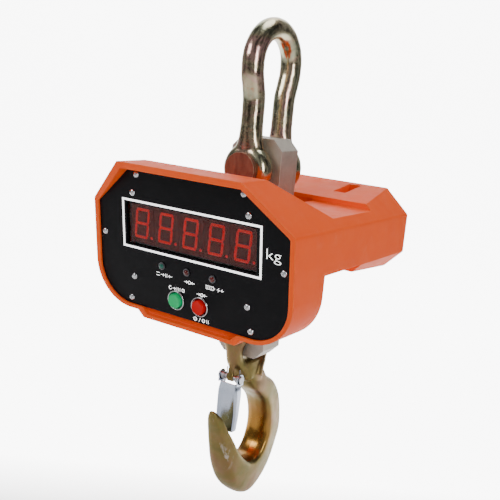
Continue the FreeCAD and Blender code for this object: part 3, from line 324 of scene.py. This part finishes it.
assign("housing rear_cover", ORANGE)
assign("load_cell", NICKEL)
assign("gauge_cover_front gauge_cover_rear cell_bracket_left cell_bracket_right bracket_bolts lead_gland "
       "charging_socket_nut standoffs standoff_screws recall_nut tare_nut weighing_board_posts "
       "battery_strap battery_terminals shackle_pin_washer hook_pin_washer shackle_split_pin "
       "hook_split_pin latch_pin latch_spring", ZINC)
assign("latch", LATCH_SHEET)
assign("rear_cover_screws panel_screws board_screws recall_bezel tare_bezel", BRIGHT)
assign("lamp_holders", LAMP_RING)
assign("shackle_bow", SHACKLE_ZINC)
assign("shackle_pin", PIN_HEAD)
assign("hook hook_pin", HOOK_ZINC)
assign("front_panel", PANEL)
assign("rear_gasket panel_gasket signal_lead", RUBBER)
assign("charging_socket display_chips weighing_board_chips recall_switch tare_switch", BLACK)
assign("display_board weighing_board", BOARD)
assign("digit_modules", LED_BLOCK)
assign("digit_segments", LED_SEGMENT)
assign("window_frame_print", WHITE)
assign("recall_button", GREEN_KEY)
assign("tare_button", RED_KEY)
assign("lamps", LENS)
assign("battery", BATTERY)
assign("display_window", WINDOW)


# ---------------------------------------------------------------- mesh tools

def new_object(name, shape):
    """Turn a bmesh into a smooth-shaded object in the scene."""
    mesh = bpy.data.meshes.new(name)
    bmesh.ops.recalc_face_normals(shape, faces=shape.faces)
    shape.to_mesh(mesh)
    shape.free()
    for face in mesh.polygons:
        face.use_smooth = True
    thing = bpy.data.objects.new(name, mesh)
    bpy.context.scene.collection.objects.link(thing)
    return thing


def ellipse(centre, across, along, count=32, power=2.0):
    """A closed ring round a centre; a power above 2 squares it off."""
    ring = []
    for i in range(count):
        angle = math.tau * i / count
        u, w = math.cos(angle), math.sin(angle)
        u = math.copysign(abs(u) ** (2 / power), u)
        w = math.copysign(abs(w) ** (2 / power), w)
        ring.append(Vector(centre) + Vector(across) * u + Vector(along) * w)
    return ring


def skin(shape, rings, capped=True):
    """Join rings of points into a tube, closed at both ends when asked."""
    rows = [[shape.verts.new(point * MM) for point in ring] for ring in rings]
    count = len(rows[0])
    for near, far in zip(rows, rows[1:]):
        for i in range(count):
            j = (i + 1) % count
            shape.faces.new((near[i], near[j], far[j], far[i]))
    if capped:
        shape.faces.new(rows[0])
        shape.faces.new(rows[-1][::-1])
    return rows


def lathe(shape, centre, axis, profile, count=48):
    """Spin (radius, height) pairs about an axis; a closed ring of pairs gives a ring-shaped solid."""
    axis = Vector(axis).normalized()
    across = axis.orthogonal().normalized()
    along = axis.cross(across)
    rings = [ellipse(Vector(centre) + axis * height, across * radius, along * radius, count)
             for radius, height in profile]
    return skin(shape, rings, capped=profile[0] != profile[-1])


def rounded_disc(radius, half, turn, steps=5):
    """Profile of a disc whose rim is rounded on both sides."""
    profile = [(radius * 0.3, -half)]
    for side in (-1, 1):
        arc = [(radius - turn + turn * math.sin(math.pi / 2 * i / steps),
                side * (half - turn + turn * math.cos(math.pi / 2 * i / steps)))
               for i in range(steps + 1)]
        profile += arc if side < 0 else arc[::-1]
    return profile + [(radius * 0.3, half)]


def spread(points, steps):
    """Points on a smooth curve through rows of numbers."""
    points = np.array(points, float)
    ends = np.vstack([2 * points[0] - points[1], points, 2 * points[-1] - points[-2]])
    rows = []
    for a, b, c, e in zip(ends, ends[1:], ends[2:], ends[3:]):
        for i in range(steps):
            t = i / steps
            rows.append(0.5 * (2 * b + (c - a) * t + (2 * a - 5 * b + 4 * c - e) * t ** 2
                               + (3 * b - a - 3 * c + e) * t ** 3))
    return rows + [points[-1]]


def bake(thing):
    """Apply an object's modifiers to its mesh."""
    graph = bpy.context.evaluated_depsgraph_get()
    mesh = bpy.data.meshes.new_from_object(thing.evaluated_get(graph))
    thing.modifiers.clear()
    old = thing.data
    thing.data = mesh
    bpy.data.meshes.remove(old)


def forge(name, parts, voxel, smoothing, tools=(), unevenness=0.0, grain=60):
    """Weld overlapping solids into one forging, soften the joins, dent it, then bore it."""
    whole = bmesh.new()
    for part in parts:
        mesh = bpy.data.meshes.new("part")
        part.to_mesh(mesh)
        whole.from_mesh(mesh)
        bpy.data.meshes.remove(mesh)
        part.free()
    thing = new_object(name, whole)
    weld = thing.modifiers.new("weld", "REMESH")
    weld.mode = "VOXEL"
    weld.voxel_size = voxel * MM
    weld.use_smooth_shade = True
    soft = thing.modifiers.new("soften", "SMOOTH")
    soft.factor = 0.5
    soft.iterations = smoothing
    bake(thing)
    if unevenness:
        normals = [vert.normal.copy() for vert in thing.data.vertices]
        for vert, normal in zip(thing.data.vertices, normals):
            wave = noise.noise(vert.co * grain) + 0.6 * noise.noise(vert.co * grain * 2.3)
            vert.co -= normal * unevenness * MM * (1 + wave)
    for tool in tools:
        cutter = new_object("tool", tool)
        bore = thing.modifiers.new("bore", "BOOLEAN")
        bore.operation = "DIFFERENCE"
        bore.solver = "MANIFOLD"
        bore.object = cutter
        bake(thing)
        bpy.data.objects.remove(cutter)
    for face in thing.data.polygons:
        face.use_smooth = True
    thing.data.materials.clear()
    return thing


def finish_piece(thing, material, body, slot, *nodes):
    """Give a new piece its material and its place in the assembly."""
    thing.data.materials.clear()
    thing.data.materials.append(material)
    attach(thing, body)
    if nodes:
        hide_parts(*nodes)


# ---------------------------------------------------------------- forged shackle and hook

# Millimetres, as in the CAD: bar radius, crown radius, half the legs' spacing, depths of the pins,
# eye radius and half thickness, and the radius of the pins' bores.
ROD = 12.75
BOW = 39.4
LEG = 31.25
PIN_DEPTH = 143
EYE = 29.4
EYE_HALF = 12.6
PIN_BORE = 14.1
VOXEL = 1.1


def build_shackle_bow():
    """The bow: a round bar bent over and swelling into two rounded eyes."""
    crown = ROD - BOW
    path = []
    for i in range(-18, 19):
        angle = math.radians(90 + 5 * i)
        path.append((BOW * math.cos(angle), crown + BOW * math.sin(angle), ROD, ROD))
    right = [(BOW - 0.1, crown - 2, ROD, ROD), (38.6, crown - 11, ROD, ROD), (36.2, crown - 20, ROD, ROD),
             (33, crown - 31, ROD, ROD), (LEG + 0.1, crown - 40, ROD, ROD), (LEG, -84, ROD, ROD),
             (LEG, -100, 13.1, 12.8), (LEG, -110, 14.6, 12.7), (LEG, -118, 17.6, 12.5),
             (LEG, -126, 21.5, 12.1), (LEG, -134, 25, 11.6), (LEG, -143, 26.5, 11.2)]
    bar = bmesh.new()
    rings = []
    leg = spread(right, 3)
    stations = leg[::-1] + path[1:-1] + [(-y, z, wide, deep) for y, z, wide, deep in leg]
    for before, here, after in zip([stations[0]] + stations, stations, stations[1:] + [stations[-1]]):
        run = Vector((0, after[0] - before[0], after[1] - before[1])).normalized()
        side = Vector((1, 0, 0)).cross(run)
        rings.append(ellipse((0, here[0], here[1]), (here[2], 0, 0), side * here[3], 40))
    skin(bar, rings)
    parts = [bar]
    for side in (-1, 1):
        eye = bmesh.new()
        lathe(eye, (0, LEG * side, -PIN_DEPTH), (0, 1, 0), rounded_disc(EYE, EYE_HALF, 9.5), 64)
        parts.append(eye)
    drill = bmesh.new()
    lathe(drill, (0, 0, -PIN_DEPTH), (0, 1, 0), [(PIN_BORE, -60), (PIN_BORE, 60)], 96)
    thing = forge("forged_bow", parts, VOXEL, 5, [drill], 0.22, 70)
    finish_piece(thing, SHACKLE_ZINC, "shackle", "shackle_zinc", "shackle_bow")


HOOK_PIN_DEPTH = 328.5
LATCH_FORWARD = 29
LATCH_DROP = 63.3
CHEEK = 27.5

# Stations along the hook, tip first: bore-side point and outer point (y, and z below the hook pin),
# then the half widths at the bore side and at the outside.
HOOK_STATIONS = [
    ((-59, -97.5), (-63.5, -98.5), 4, 4),
    ((-55.5, -102), (-62.5, -105), 7.5, 6.5),
    ((-51, -108), (-59.5, -114), 10.5, 8.5),
    ((-44, -120.5), (-53.5, -130), 13, 11.5),
    ((-35, -134), (-47.5, -151), 15.5, 13.5),
    ((-22, -152.5), (-38.5, -179), 17.5, 15.5),
    ((-7, -168.5), (-24, -206), 18, 15.5),
    ((7, -178.5), (3, -226.3), 18, 14),
    ((21, -178.5), (27, -229.6), 18, 13),
    ((32, -168), (60, -209.5), 18, 12),
    ((38, -149), (82, -165), 18, 12),
    ((36.5, -128), (81, -136), 18, 12),
    ((28, -108), (73.5, -111), 18, 12.5),
    ((13, -94), (56, -88), 18, 14),
    ((0, -83.5), (36, -75), 18, 15),
    ((-8, -70), (27, -63), 15, 14),
]


def hook_ring(inner_y, inner_z, outer_y, outer_z, near, far):
    """The forging's egg-shaped outline between a bore-side point and an outer point."""
    start = Vector((0, inner_y, inner_z))
    run = Vector((0, outer_y, outer_z)) - start
    half = [(0, 0), (0.03, 0.62 * near), (0.14, near), (0.5, 0.55 * near + 0.5 * far),
            (0.84, far), (0.97, 0.58 * far), (1, 0)]
    loop = half + [(along, -across) for along, across in half[-2:0:-1]]
    loop = loop + loop[:1]
    curve = spread(loop, 4)[:-1]
    return [start + run * along + Vector((across, 0, 0)) for along, across in curve]


def below_pin(rings):
    """Rings drawn from the hook pin, moved to where the pin is."""
    drop = Vector((0, 0, -HOOK_PIN_DEPTH))
    return [[point + drop for point in ring] for ring in rings]


def build_hook():
    """The hook: an egg-shaped bar curled into a bowl, under two arms spread by a narrow neck."""
    bar = bmesh.new()
    rows = [(*inner, *outer, near, far) for inner, outer, near, far in HOOK_STATIONS]
    rings = [hook_ring(*row) for row in spread(rows, 5)]
    tip = rings[0]
    middle = sum(tip, Vector()) / len(tip)
    cap = [[middle + (point - middle) * share + Vector((0, -0.2, 1)) * rise for point in tip]
           for share, rise in ((0.35, 0.9), (0.75, 0.6))]
    skin(bar, below_pin(cap + rings))
    parts = [bar]
    for side in (-1, 1):
        arm = bmesh.new()
        path = [(CHEEK, 0, 20, 8.6), (CHEEK, -14, 18.5, 8.6), (27.3, -24, 12.6, 8.6), (26.4, -33, 10.4, 8.2),
                (24, -42, 10.4, 8.2), (17.5, -50, 12.5, 8.4), (9, -57, 14.5, 9.5), (4, -66, 16, 11)]
        stations = spread(path, 4)
        arm_rings = []
        for before, here, after in zip([stations[0]] + stations, stations, stations[1:] + [stations[-1]]):
            run = Vector((0, (after[0] - before[0]) * side, after[1] - before[1])).normalized()
            across = Vector((1, 0, 0)).cross(run)
            lift, broad = (3, 1.3) if side > 0 and here[1] < -18 else (0, 1)
            arm_rings.append(ellipse((0, here[0] * side + lift * max(0, -here[1] - 45) / 20, here[1]),
                                     (here[2] * broad, 0, 0), across * here[3], 36, 2.6))
        skin(arm, below_pin(arm_rings))
        parts.append(arm)
        eye = bmesh.new()
        lathe(eye, (0, CHEEK * side, -HOOK_PIN_DEPTH), (0, 1, 0), rounded_disc(22.8, 8.9, 4), 64)
        parts.append(eye)
    neck = bmesh.new()
    skin(neck, below_pin([ellipse((0, y, z), (wide, 0, 0), (0, deep, 0), 36, 2.5) for y, z, wide, deep in (
        (0, -43, 14, 22), (0, -50, 15, 22), (1, -57, 16, 20), (5, -64, 16.5, 19), (9, -72, 17, 19))]))
    parts.append(neck)
    lug = bmesh.new()
    pivot = (0, -LATCH_FORWARD, -HOOK_PIN_DEPTH - LATCH_DROP)
    lathe(lug, pivot, (1, 0, 0), rounded_disc(5.1, 4.8, 1.2), 40)
    skin(lug, below_pin([ellipse((0, y, z), (4.4, 0, 0), (0, deep, 0), 24, 3.2) for y, z, deep in (
        (-26, -40, 6), (-27, -50, 5), (-28, -58, 5), (-29, -63.3, 4.9))]))
    skin(lug, below_pin([ellipse((0, y, z), (4.4, 0, 0), (0, 0, deep), 24, 3.2) for y, z, deep in (
        (-29, -63.3, 4.9), (-20, -61, 8), (-8, -66, 12))]))
    parts.append(lug)
    pin_drill, latch_drill, slot = bmesh.new(), bmesh.new(), bmesh.new()
    lathe(pin_drill, (0, 0, -HOOK_PIN_DEPTH), (0, 1, 0), [(PIN_BORE, -60), (PIN_BORE, 60)], 96)
    lathe(latch_drill, pivot, (1, 0, 0), [(3.05, -40), (3.05, 40)], 40)
    outline = [(-18.55, 30), (-18.55, -40), (-17.9, -43.2), (-16.2, -45.6), (-13, -47), (13, -47),
               (16.2, -45.6), (17.9, -43.2), (18.55, -40), (18.55, 30)]
    skin(slot, below_pin([[Vector((x, y, z)) for y, z in outline] for x in (-40, 40)]))
    thing = forge("forged_hook", parts, VOXEL, 6, [slot, pin_drill, latch_drill], 0.2, 55)
    finish_piece(thing, HOOK_ZINC, "hook", "hook_zinc", "hook")


def build_latch():
    """The pressed latch: a channel with shoulders, rolled corners and two rounded ears."""
    sheet = bmesh.new()
    pivot = Vector((0, -LATCH_FORWARD, -HOOK_PIN_DEPTH - LATCH_DROP))
    rows = []
    for drop, half, back in spread([
            (-5.2, 11.4, 6.2), (-9, 12, 6.2), (-14, 13.2, 5.6), (-20, 13.8, 5.2), (-32, 13.9, 4.2),
            (-46, 13.8, 3.2), (-58, 13, 2.4), (-65.9, 12.4, 1.9)], 4):
        bead = 0.5 * math.exp(-((drop + 36) / 14) ** 2)
        line = [(-half, back), (-half, 0), (-half, -4.6), (-half + 0.7, -6.3), (-half + 2.4, -6.95),
                (-half * 0.55, -6.95), (-half * 0.3, -6.95 + bead), (0, -6.95 + bead * 1.4)]
        line = line + [(-x, y) for x, y in line[-2::-1]]
        rows.append([sheet.verts.new((pivot + Vector((x, y, drop))) * MM) for x, y in line])
    for near, far in zip(rows, rows[1:]):
        for i in range(len(near) - 1):
            sheet.faces.new((near[i], near[i + 1], far[i + 1], far[i]))
    channel = new_object("latch_channel", sheet)
    thick = channel.modifiers.new("thick", "SOLIDIFY")
    thick.thickness = 1.4 * MM
    thick.offset = -1
    smooth = channel.modifiers.new("smooth", "SUBSURF")
    smooth.levels = 1
    bake(channel)
    ears = bmesh.new()
    ears.from_mesh(channel.data)
    bpy.data.objects.remove(channel)
    for side in (-1, 1):
        lathe(ears, pivot + Vector((13.2 * side, 0, 0)), (1, 0, 0), [
            (3.1, -0.7), (6.3, -0.7), (6.8, -0.4), (6.9, 0), (6.8, 0.4), (6.3, 0.7), (3.1, 0.7),
            (3.1, -0.7)])
        skin(ears, [[pivot + Vector((x * side, y, z)) for y, z in
                     ((-6.4, -1), (-6.4, -7), (6.2, -8), (6.6, -1), (4, 0.6), (-4, 0.6))]
                    for x in (12.5, 13.9)])
        if side < 0:
            lathe(ears, pivot + Vector((14.6 * side, 0, 0)), (1, 0, 0), [(1.2, -0.8), (4.4, -0.8)], 24)
    thing = new_object("pressed_latch", ears)
    crease = thing.modifiers.new("rim", "BEVEL")
    crease.width = 0.25 * MM
    crease.segments = 2
    bake(thing)
    for face in thing.data.polygons:
        face.use_smooth = False
    finish_piece(thing, LATCH_SHEET, "latch", "zinc_steel", "latch")


build_shackle_bow()
build_hook()
build_latch()


# ---------------------------------------------------------------- front panel's fittings

PANEL_TURN = Matrix.Rotation(TILT, 3, "X")
INWARD = PANEL_TURN @ Vector((0, 1, 0))
KEYS = {"recall": (-16, GREEN_KEY, "key_green"), "tare": (16, RED_KEY, "key_red")}
KEY_DROP = -59
KEY_PROUD = 5.4
LAMP_DROP = -24.4
PRINT_THICK = 0.06


def on_panel(x, y, z):
    """A point of the panel's own frame, where +Y points into the housing, in millimetres."""
    return PANEL_TURN @ Vector((x, y, z)) + PANEL_MIDDLE / MM


def spun(name, x, z, profile, count=64):
    """A round piece that stands in the panel; its profile is (radius, depth into the panel)."""
    shape = bmesh.new()
    lathe(shape, on_panel(x, 0, z), INWARD, profile, count)
    return new_object(name, shape)


def build_keys():
    """Each key: a bright ring with a stepped bore, and a moulded cap with a shallow dish."""
    for name, (x, material, slot) in KEYS.items():
        ring = spun(name + "_ring", x, KEY_DROP, [
            (8.1, 12.5), (8.1, 0.9), (9.5, 0.5), (9.7, -1.5), (9.9, -2.0), (10.4, -2.2), (10.9, -1.9),
            (11.1, -1.2), (11.1, -0.02), (9.15, 0), (9.15, 12.5), (8.1, 12.5)])
        finish_piece(ring, BRIGHT, "scale_body", "bright_steel", name + "_bezel")
        cap = spun(name + "_cap", x, KEY_DROP, [
            (0.02, -KEY_PROUD + 0.4), (2, -KEY_PROUD + 0.4), (4.4, -KEY_PROUD + 0.3),
            (5.6, -KEY_PROUD + 0.12), (6.2, -KEY_PROUD), (6.9, -KEY_PROUD), (7.5, -KEY_PROUD + 0.2),
            (7.85, -KEY_PROUD + 0.6), (7.95, -KEY_PROUD + 1.3), (8, 5.6), (2, 5.6), (2, 10.6), (0.02, 10.6)])
        finish_piece(cap, material, name + "_key", slot, name + "_button")


def build_lamps():
    """Three small lamps: coloured domes with a lip that rests in the dark holder."""
    for i, (x, lens) in enumerate(((-35.6, GREEN_LENS), (-1.6, LENS), (32.4, LENS))):
        dome = spun("lamp_%d" % (i + 1), x, LAMP_DROP, [
            (0.02, -3.1), (1.1, -3.0), (2.1, -2.6), (2.75, -2.0), (3.05, -1.25), (2.5, -1.22), (2.5, 7.9),
            (0.02, 7.9)], 32)
        finish_piece(dome, lens, "scale_body", "lamp_lens", *(("lamps",) if i == 0 else ()))


def flat_stroke(shape, points, width, closed=False):
    """A ribbon along points of the panel's face."""
    points = [Vector(point) for point in points]
    pairs = list(zip(points, points[1:] + (points[:1] if closed else [])))
    for start, end in pairs[:len(points) if closed else len(points) - 1]:
        run = (end - start).normalized() * width / 2
        side = Vector((-run.y, run.x))
        corners = [start - run - side, end + run - side, end + run + side, start - run + side]
        skin(shape, [[on_panel(corner.x, y, corner.y) for corner in corners]
                     for y in (-PRINT_THICK, 0)])


def arc_points(x, z, radius, start, end, count=10):
    return [(x + radius * math.cos(math.radians(start + (end - start) * i / count)),
             z + radius * math.sin(math.radians(start + (end - start) * i / count)))
            for i in range(count + 1)]


def build_pictograms():
    """Small generic pictograms in place of words under the lamps and round the keys."""
    shape = bmesh.new()
    line = 0.5

    def arrow(x, z, long, way):
        flat_stroke(shape, [(x, z), (x + long * way, z)], line)
        flat_stroke(shape, [(x + (long - 1.3) * way, z + 1.3), (x + long * way, z),
                            (x + (long - 1.3) * way, z - 1.3)], line)

    def ring(x, z, radius):
        flat_stroke(shape, arc_points(x, z, radius, 0, 360, 14)[:-1], line, closed=True)

    def bars(x, z, count, step=2.2, tall=3.2):
        for i in range(count):
            flat_stroke(shape, [(x + step * i, z - tall / 2), (x + step * i, z + tall / 2)], line)

    z = -34.3
    flat_stroke(shape, [(-43.6, z + 1.6), (-39.2, z + 1.6)], line)
    flat_stroke(shape, [(-43.6, z - 1.6), (-39.2, z - 1.6)], line)
    arrow(-37.4, z, 4.4, 1)
    bars(-31, z, 2, 2.0, 3.6)
    arrow(-22.2, z, 4.4, -1)
    z = -35.2
    arrow(-5, z, 4, 1)
    ring(1.7, z, 1.7)
    arrow(8.4, z, 4, -1)
    z = -34.8
    flat_stroke(shape, [(24, z - 1.8), (33.5, z - 1.8), (33.5, z + 1.8), (24, z + 1.8)], line, closed=True)
    flat_stroke(shape, [(34.9, z - 0.7), (34.9, z + 0.7)], line)
    bars(26.2, z, 3, 2.2, 1.6)
    flat_stroke(shape, [(40.6, z + 2.1), (38.6, z + 0.1), (41.2, z - 0.1), (39.2, z - 2.1)], line)
    arrow(46.4, z, 3, -1)
    z = -46.3
    flat_stroke(shape, arc_points(-24.4, z, 1.8, 60, 340, 12), line)
    arrow(-21, z, 3.4, 1)
    bars(-15.4, z, 3, 2.1, 3.4)
    ring(-6.9, z, 1.7)
    z = -45.4
    arrow(11.8, z, 4, 1)
    ring(18.3, z, 1.7)
    arrow(24.8, z, 4, -1)
    z = -74
    flat_stroke(shape, arc_points(9.3, z, 1.9, 125, 415, 12), line)
    flat_stroke(shape, [(9.3, z + 0.2), (9.3, z + 2.2)], line)
    flat_stroke(shape, [(14.4, z - 2), (16.2, z + 2)], line)
    ring(20.4, z, 1.8)
    bars(24.8, z, 2, 2.1, 3.4)
    finish_piece(new_object("pictograms", shape), WHITE, "scale_body", "print_white")


def build_unit_mark():
    """The unit, kg, printed to the right of the digits."""
    text = bpy.data.curves.new("unit_text", "FONT")
    text.body = "kg"
    text.size = 1
    text.extrude = 0.004
    text.offset = -0.018
    carrier = bpy.data.objects.new("unit_carrier", text)
    bpy.context.scene.collection.objects.link(carrier)
    graph = bpy.context.evaluated_depsgraph_get()
    mesh = bpy.data.meshes.new_from_object(carrier.evaluated_get(graph))
    bpy.data.objects.remove(carrier)
    points = np.array([vert.co for vert in mesh.vertices])
    low, high = points.min(0), points.max(0)
    left, right, base, top = 97.6, 114.4, 7.5, 21.4
    for vert in mesh.vertices:
        u = (vert.co.x - low[0]) / (high[0] - low[0])
        w = (vert.co.y - low[1]) / (high[1] - low[1])
        depth = -PRINT_THICK if vert.co.z > 0 else 0
        vert.co = on_panel(left + (right - left) * u, depth, base + (top - base) * w) * MM
    mark = bpy.data.objects.new("unit_mark", mesh)
    bpy.context.scene.collection.objects.link(mark)
    finish_piece(mark, WHITE, "scale_body", "print_white")


def build_panel_screws():
    """Round cross-head screws in the panel, their heads domed and their edges rounded."""
    places = ([(69.7 * side, 71.2) for side in (-1, 1)]
              + [(118.1 * side, 0) for side in (-1, 1)] + [(80.6 * side, -70.5) for side in (-1, 1)])
    inner = [(75.9 * side, z) for side in (-1, 1) for z in (50.4, -44.8)]
    for name, spots, reach in (("panel_screws", places, 15), ("board_screws", inner, 9)):
        shape = bmesh.new()
        for x, z in spots:
            lathe(shape, on_panel(x, 0, z), INWARD, [
                (0.02, -1.95), (1.2, -1.9), (2.3, -1.62), (3.1, -1.1), (3.6, -0.45), (3.7, -0.02), (2, 0),
                (2, reach), (0.02, reach)], 40)
        heads = new_object(name + "_domed", shape)
        slots = bmesh.new()
        for x, z in spots:
            turn = random.uniform(0, math.pi / 2)
            for angle in (turn, turn + math.pi / 2):
                run = Vector((math.cos(angle), math.sin(angle)))
                across = Vector((-run.y, run.x)) * 0.34
                corners = [run * -1.6 - across, run * 1.6 - across, run * 1.6 + across, run * -1.6 + across]
                skin(slots, [[on_panel(x + corner.x * share, y, z + corner.y * share) for corner in corners]
                             for y, share in ((-3, 1), (-1.5, 0.9), (-1.0, 0.35))])
        cutter = new_object("slots", slots)
        cut = heads.modifiers.new("slots", "BOOLEAN")
        cut.operation = "DIFFERENCE"
        cut.solver = "MANIFOLD"
        cut.object = cutter
        bake(heads)
        bpy.data.objects.remove(cutter)
        for face in heads.data.polygons:
            face.use_smooth = False
        finish_piece(heads, BRIGHT, "scale_body", "bright_steel", name)


build_keys()
build_lamps()
build_pictograms()
build_unit_mark()
build_panel_screws()


# ---------------------------------------------------------------- stage, light and camera

# The way the camera looks, and the strengths of the light the scene gives.
VIEW_YAW, VIEW_PITCH, VIEW_ROLL = (math.radians(angle) for angle in (33.21, 12.07, 5.11))
VIEW_PLACE = (0.4795, -0.7451, -0.0513)
VIEW_LENS = 55.18
FLOOR_GLOW = 2.2
BACKDROP_GLOW = 6.0
WORLD_STRENGTH = 0.3
PLAIN_WORLD = (2.6, 2.6, 2.6, 1)


def build_stage():
    """A wide pale floor that curves up behind the object and glows there as a white backdrop."""
    mesh = bpy.data.meshes.new("floor")
    floor = bpy.data.objects.new("floor", mesh)
    bpy.context.scene.collection.objects.link(floor)
    shape = bmesh.new()
    base = Vector(CAD_BOX[0]).z - 0.09
    profile = [(-3.2, 0), (1.2, 0)]
    bend = 1.1
    for i in range(1, 17):
        angle = math.radians(90 * i / 16)
        profile.append((1.2 + bend * math.sin(angle), bend * (1 - math.cos(angle))))
    profile.append((1.2 + bend, 4.5))
    turn = Matrix.Rotation(math.radians(33.2), 3, "Z")
    rows = []
    for y, z in profile:
        rows.append([shape.verts.new(turn @ Vector((x, y, 0)) + Vector((0, 0, base + z)))
                     for x in np.linspace(-4, 4, 5)])
    for near, far in zip(rows, rows[1:]):
        for i in range(4):
            shape.faces.new((near[i], near[i + 1], far[i + 1], far[i]))
    bmesh.ops.recalc_face_normals(shape, faces=shape.faces)
    shape.to_mesh(mesh)
    shape.free()
    for face in mesh.polygons:
        face.use_smooth = True
    g = Graph("floor_card")
    tone = g.ramp(g.noise(2.5, 3), (0.3, 0.94), (0.7, 0.96))
    split = g.add("ShaderNodeSeparateXYZ")
    g.put(split, "Vector", g.place)
    away = g.maths("SUBTRACT", g.maths("MULTIPLY", split.outputs["Y"], 0.837),
                   g.maths("MULTIPLY", split.outputs["X"], 0.548))
    aside = g.maths("ABSOLUTE", g.maths("ADD", g.maths("MULTIPLY", split.outputs["X"], 0.837),
                                        g.maths("MULTIPLY", split.outputs["Y"], 0.548)))
    middle = g.ramp(g.maths("MULTIPLY", aside, 0.5), (0.55, 1.0), (0.75, 0.0))
    glow = g.mix(1.0, g.mix(1.0, g.ramp(away, (0.02, 0.0), (0.22, 1.0)), middle, "MULTIPLY"), tone,
                 "MULTIPLY")
    seen = g.add("ShaderNodeLightPath").outputs["Is Camera Ray"]
    strength = g.maths("ADD", g.maths("MULTIPLY", seen, BACKDROP_GLOW), FLOOR_GLOW)
    mesh.materials.append(g.shade(Base_Color=tone, Roughness=0.85, Emission_Color=glow,
                                  Emission_Strength=strength))


def add_area_light(name, place, target, size, power):
    data = bpy.data.lights.new(name, "AREA")
    data.shape = "RECTANGLE"
    data.size, data.size_y = size
    data.energy = power
    lamp = bpy.data.objects.new(name, data)
    bpy.context.scene.collection.objects.link(lamp)
    lamp.location = place
    lamp.rotation_euler = (Vector(target) - Vector(place)).to_track_quat("-Z", "Y").to_euler()


def build_light():
    """Patchy studio light for the metals to mirror, on a plain pale world, and three area lights."""
    world = bpy.data.worlds.new("studio")
    bpy.context.scene.world = world
    world.use_nodes = True
    tree = world.node_tree
    back = tree.nodes["Background"]
    coords = tree.nodes.new("ShaderNodeTexCoord")
    softboxes = tree.nodes.new("ShaderNodeTexNoise")
    shade = tree.nodes.new("ShaderNodeValToRGB")
    tree.links.new(coords.outputs["Generated"], softboxes.inputs["Vector"])
    tree.links.new(softboxes.outputs["Fac"], shade.inputs["Fac"])
    plain = tree.nodes.new("ShaderNodeMix")
    plain.data_type = "RGBA"
    seen = tree.nodes.new("ShaderNodeLightPath")
    tree.links.new(seen.outputs["Is Camera Ray"], plain.inputs[0])
    tree.links.new(shade.outputs["Color"], plain.inputs[6])
    plain.inputs[7].default_value = PLAIN_WORLD
    tree.links.new(plain.outputs[2], back.inputs["Color"])
    softboxes.inputs["Scale"].default_value = 2.4
    softboxes.inputs["Detail"].default_value = 1
    shade.color_ramp.elements[0].position = 0.46
    shade.color_ramp.elements[0].color = (0.03, 0.03, 0.03, 1)
    shade.color_ramp.elements[1].position = 0.56
    shade.color_ramp.elements[1].color = (1, 1, 1, 1)
    back.inputs["Strength"].default_value = WORLD_STRENGTH
    middle = (0, 0, -0.25)
    add_area_light("key_light", (-0.9, -1.5, 0.9), middle, (0.9, 0.7), 19)
    add_area_light("fill_light", (1.7, -0.9, 0.3), middle, (0.5, 1.0), 18)
    add_area_light("top_light", (0.2, 0.5, 1.5), middle, (1.0, 1.0), 16)


def build_camera():
    """The camera at the photograph's angle."""
    yaw, pitch, roll = VIEW_YAW, VIEW_PITCH, VIEW_ROLL
    back = Vector((math.sin(yaw) * math.cos(pitch), -math.cos(yaw) * math.cos(pitch), math.sin(pitch)))
    right = Vector((math.cos(yaw), math.sin(yaw), 0))
    up = back.cross(right)
    side = right * math.cos(roll) + up * math.sin(roll)
    top = up * math.cos(roll) - right * math.sin(roll)
    data = bpy.data.cameras.new("photo_camera")
    data.lens = VIEW_LENS
    data.sensor_width = 36
    data.clip_start = 0.05
    camera = bpy.data.objects.new("photo_camera", data)
    bpy.context.scene.collection.objects.link(camera)
    camera.matrix_world = Matrix.Translation(VIEW_PLACE) @ Matrix(
        (side, top, back)).transposed().to_4x4()
    bpy.context.scene.camera = camera


build_stage()
build_light()
build_camera()
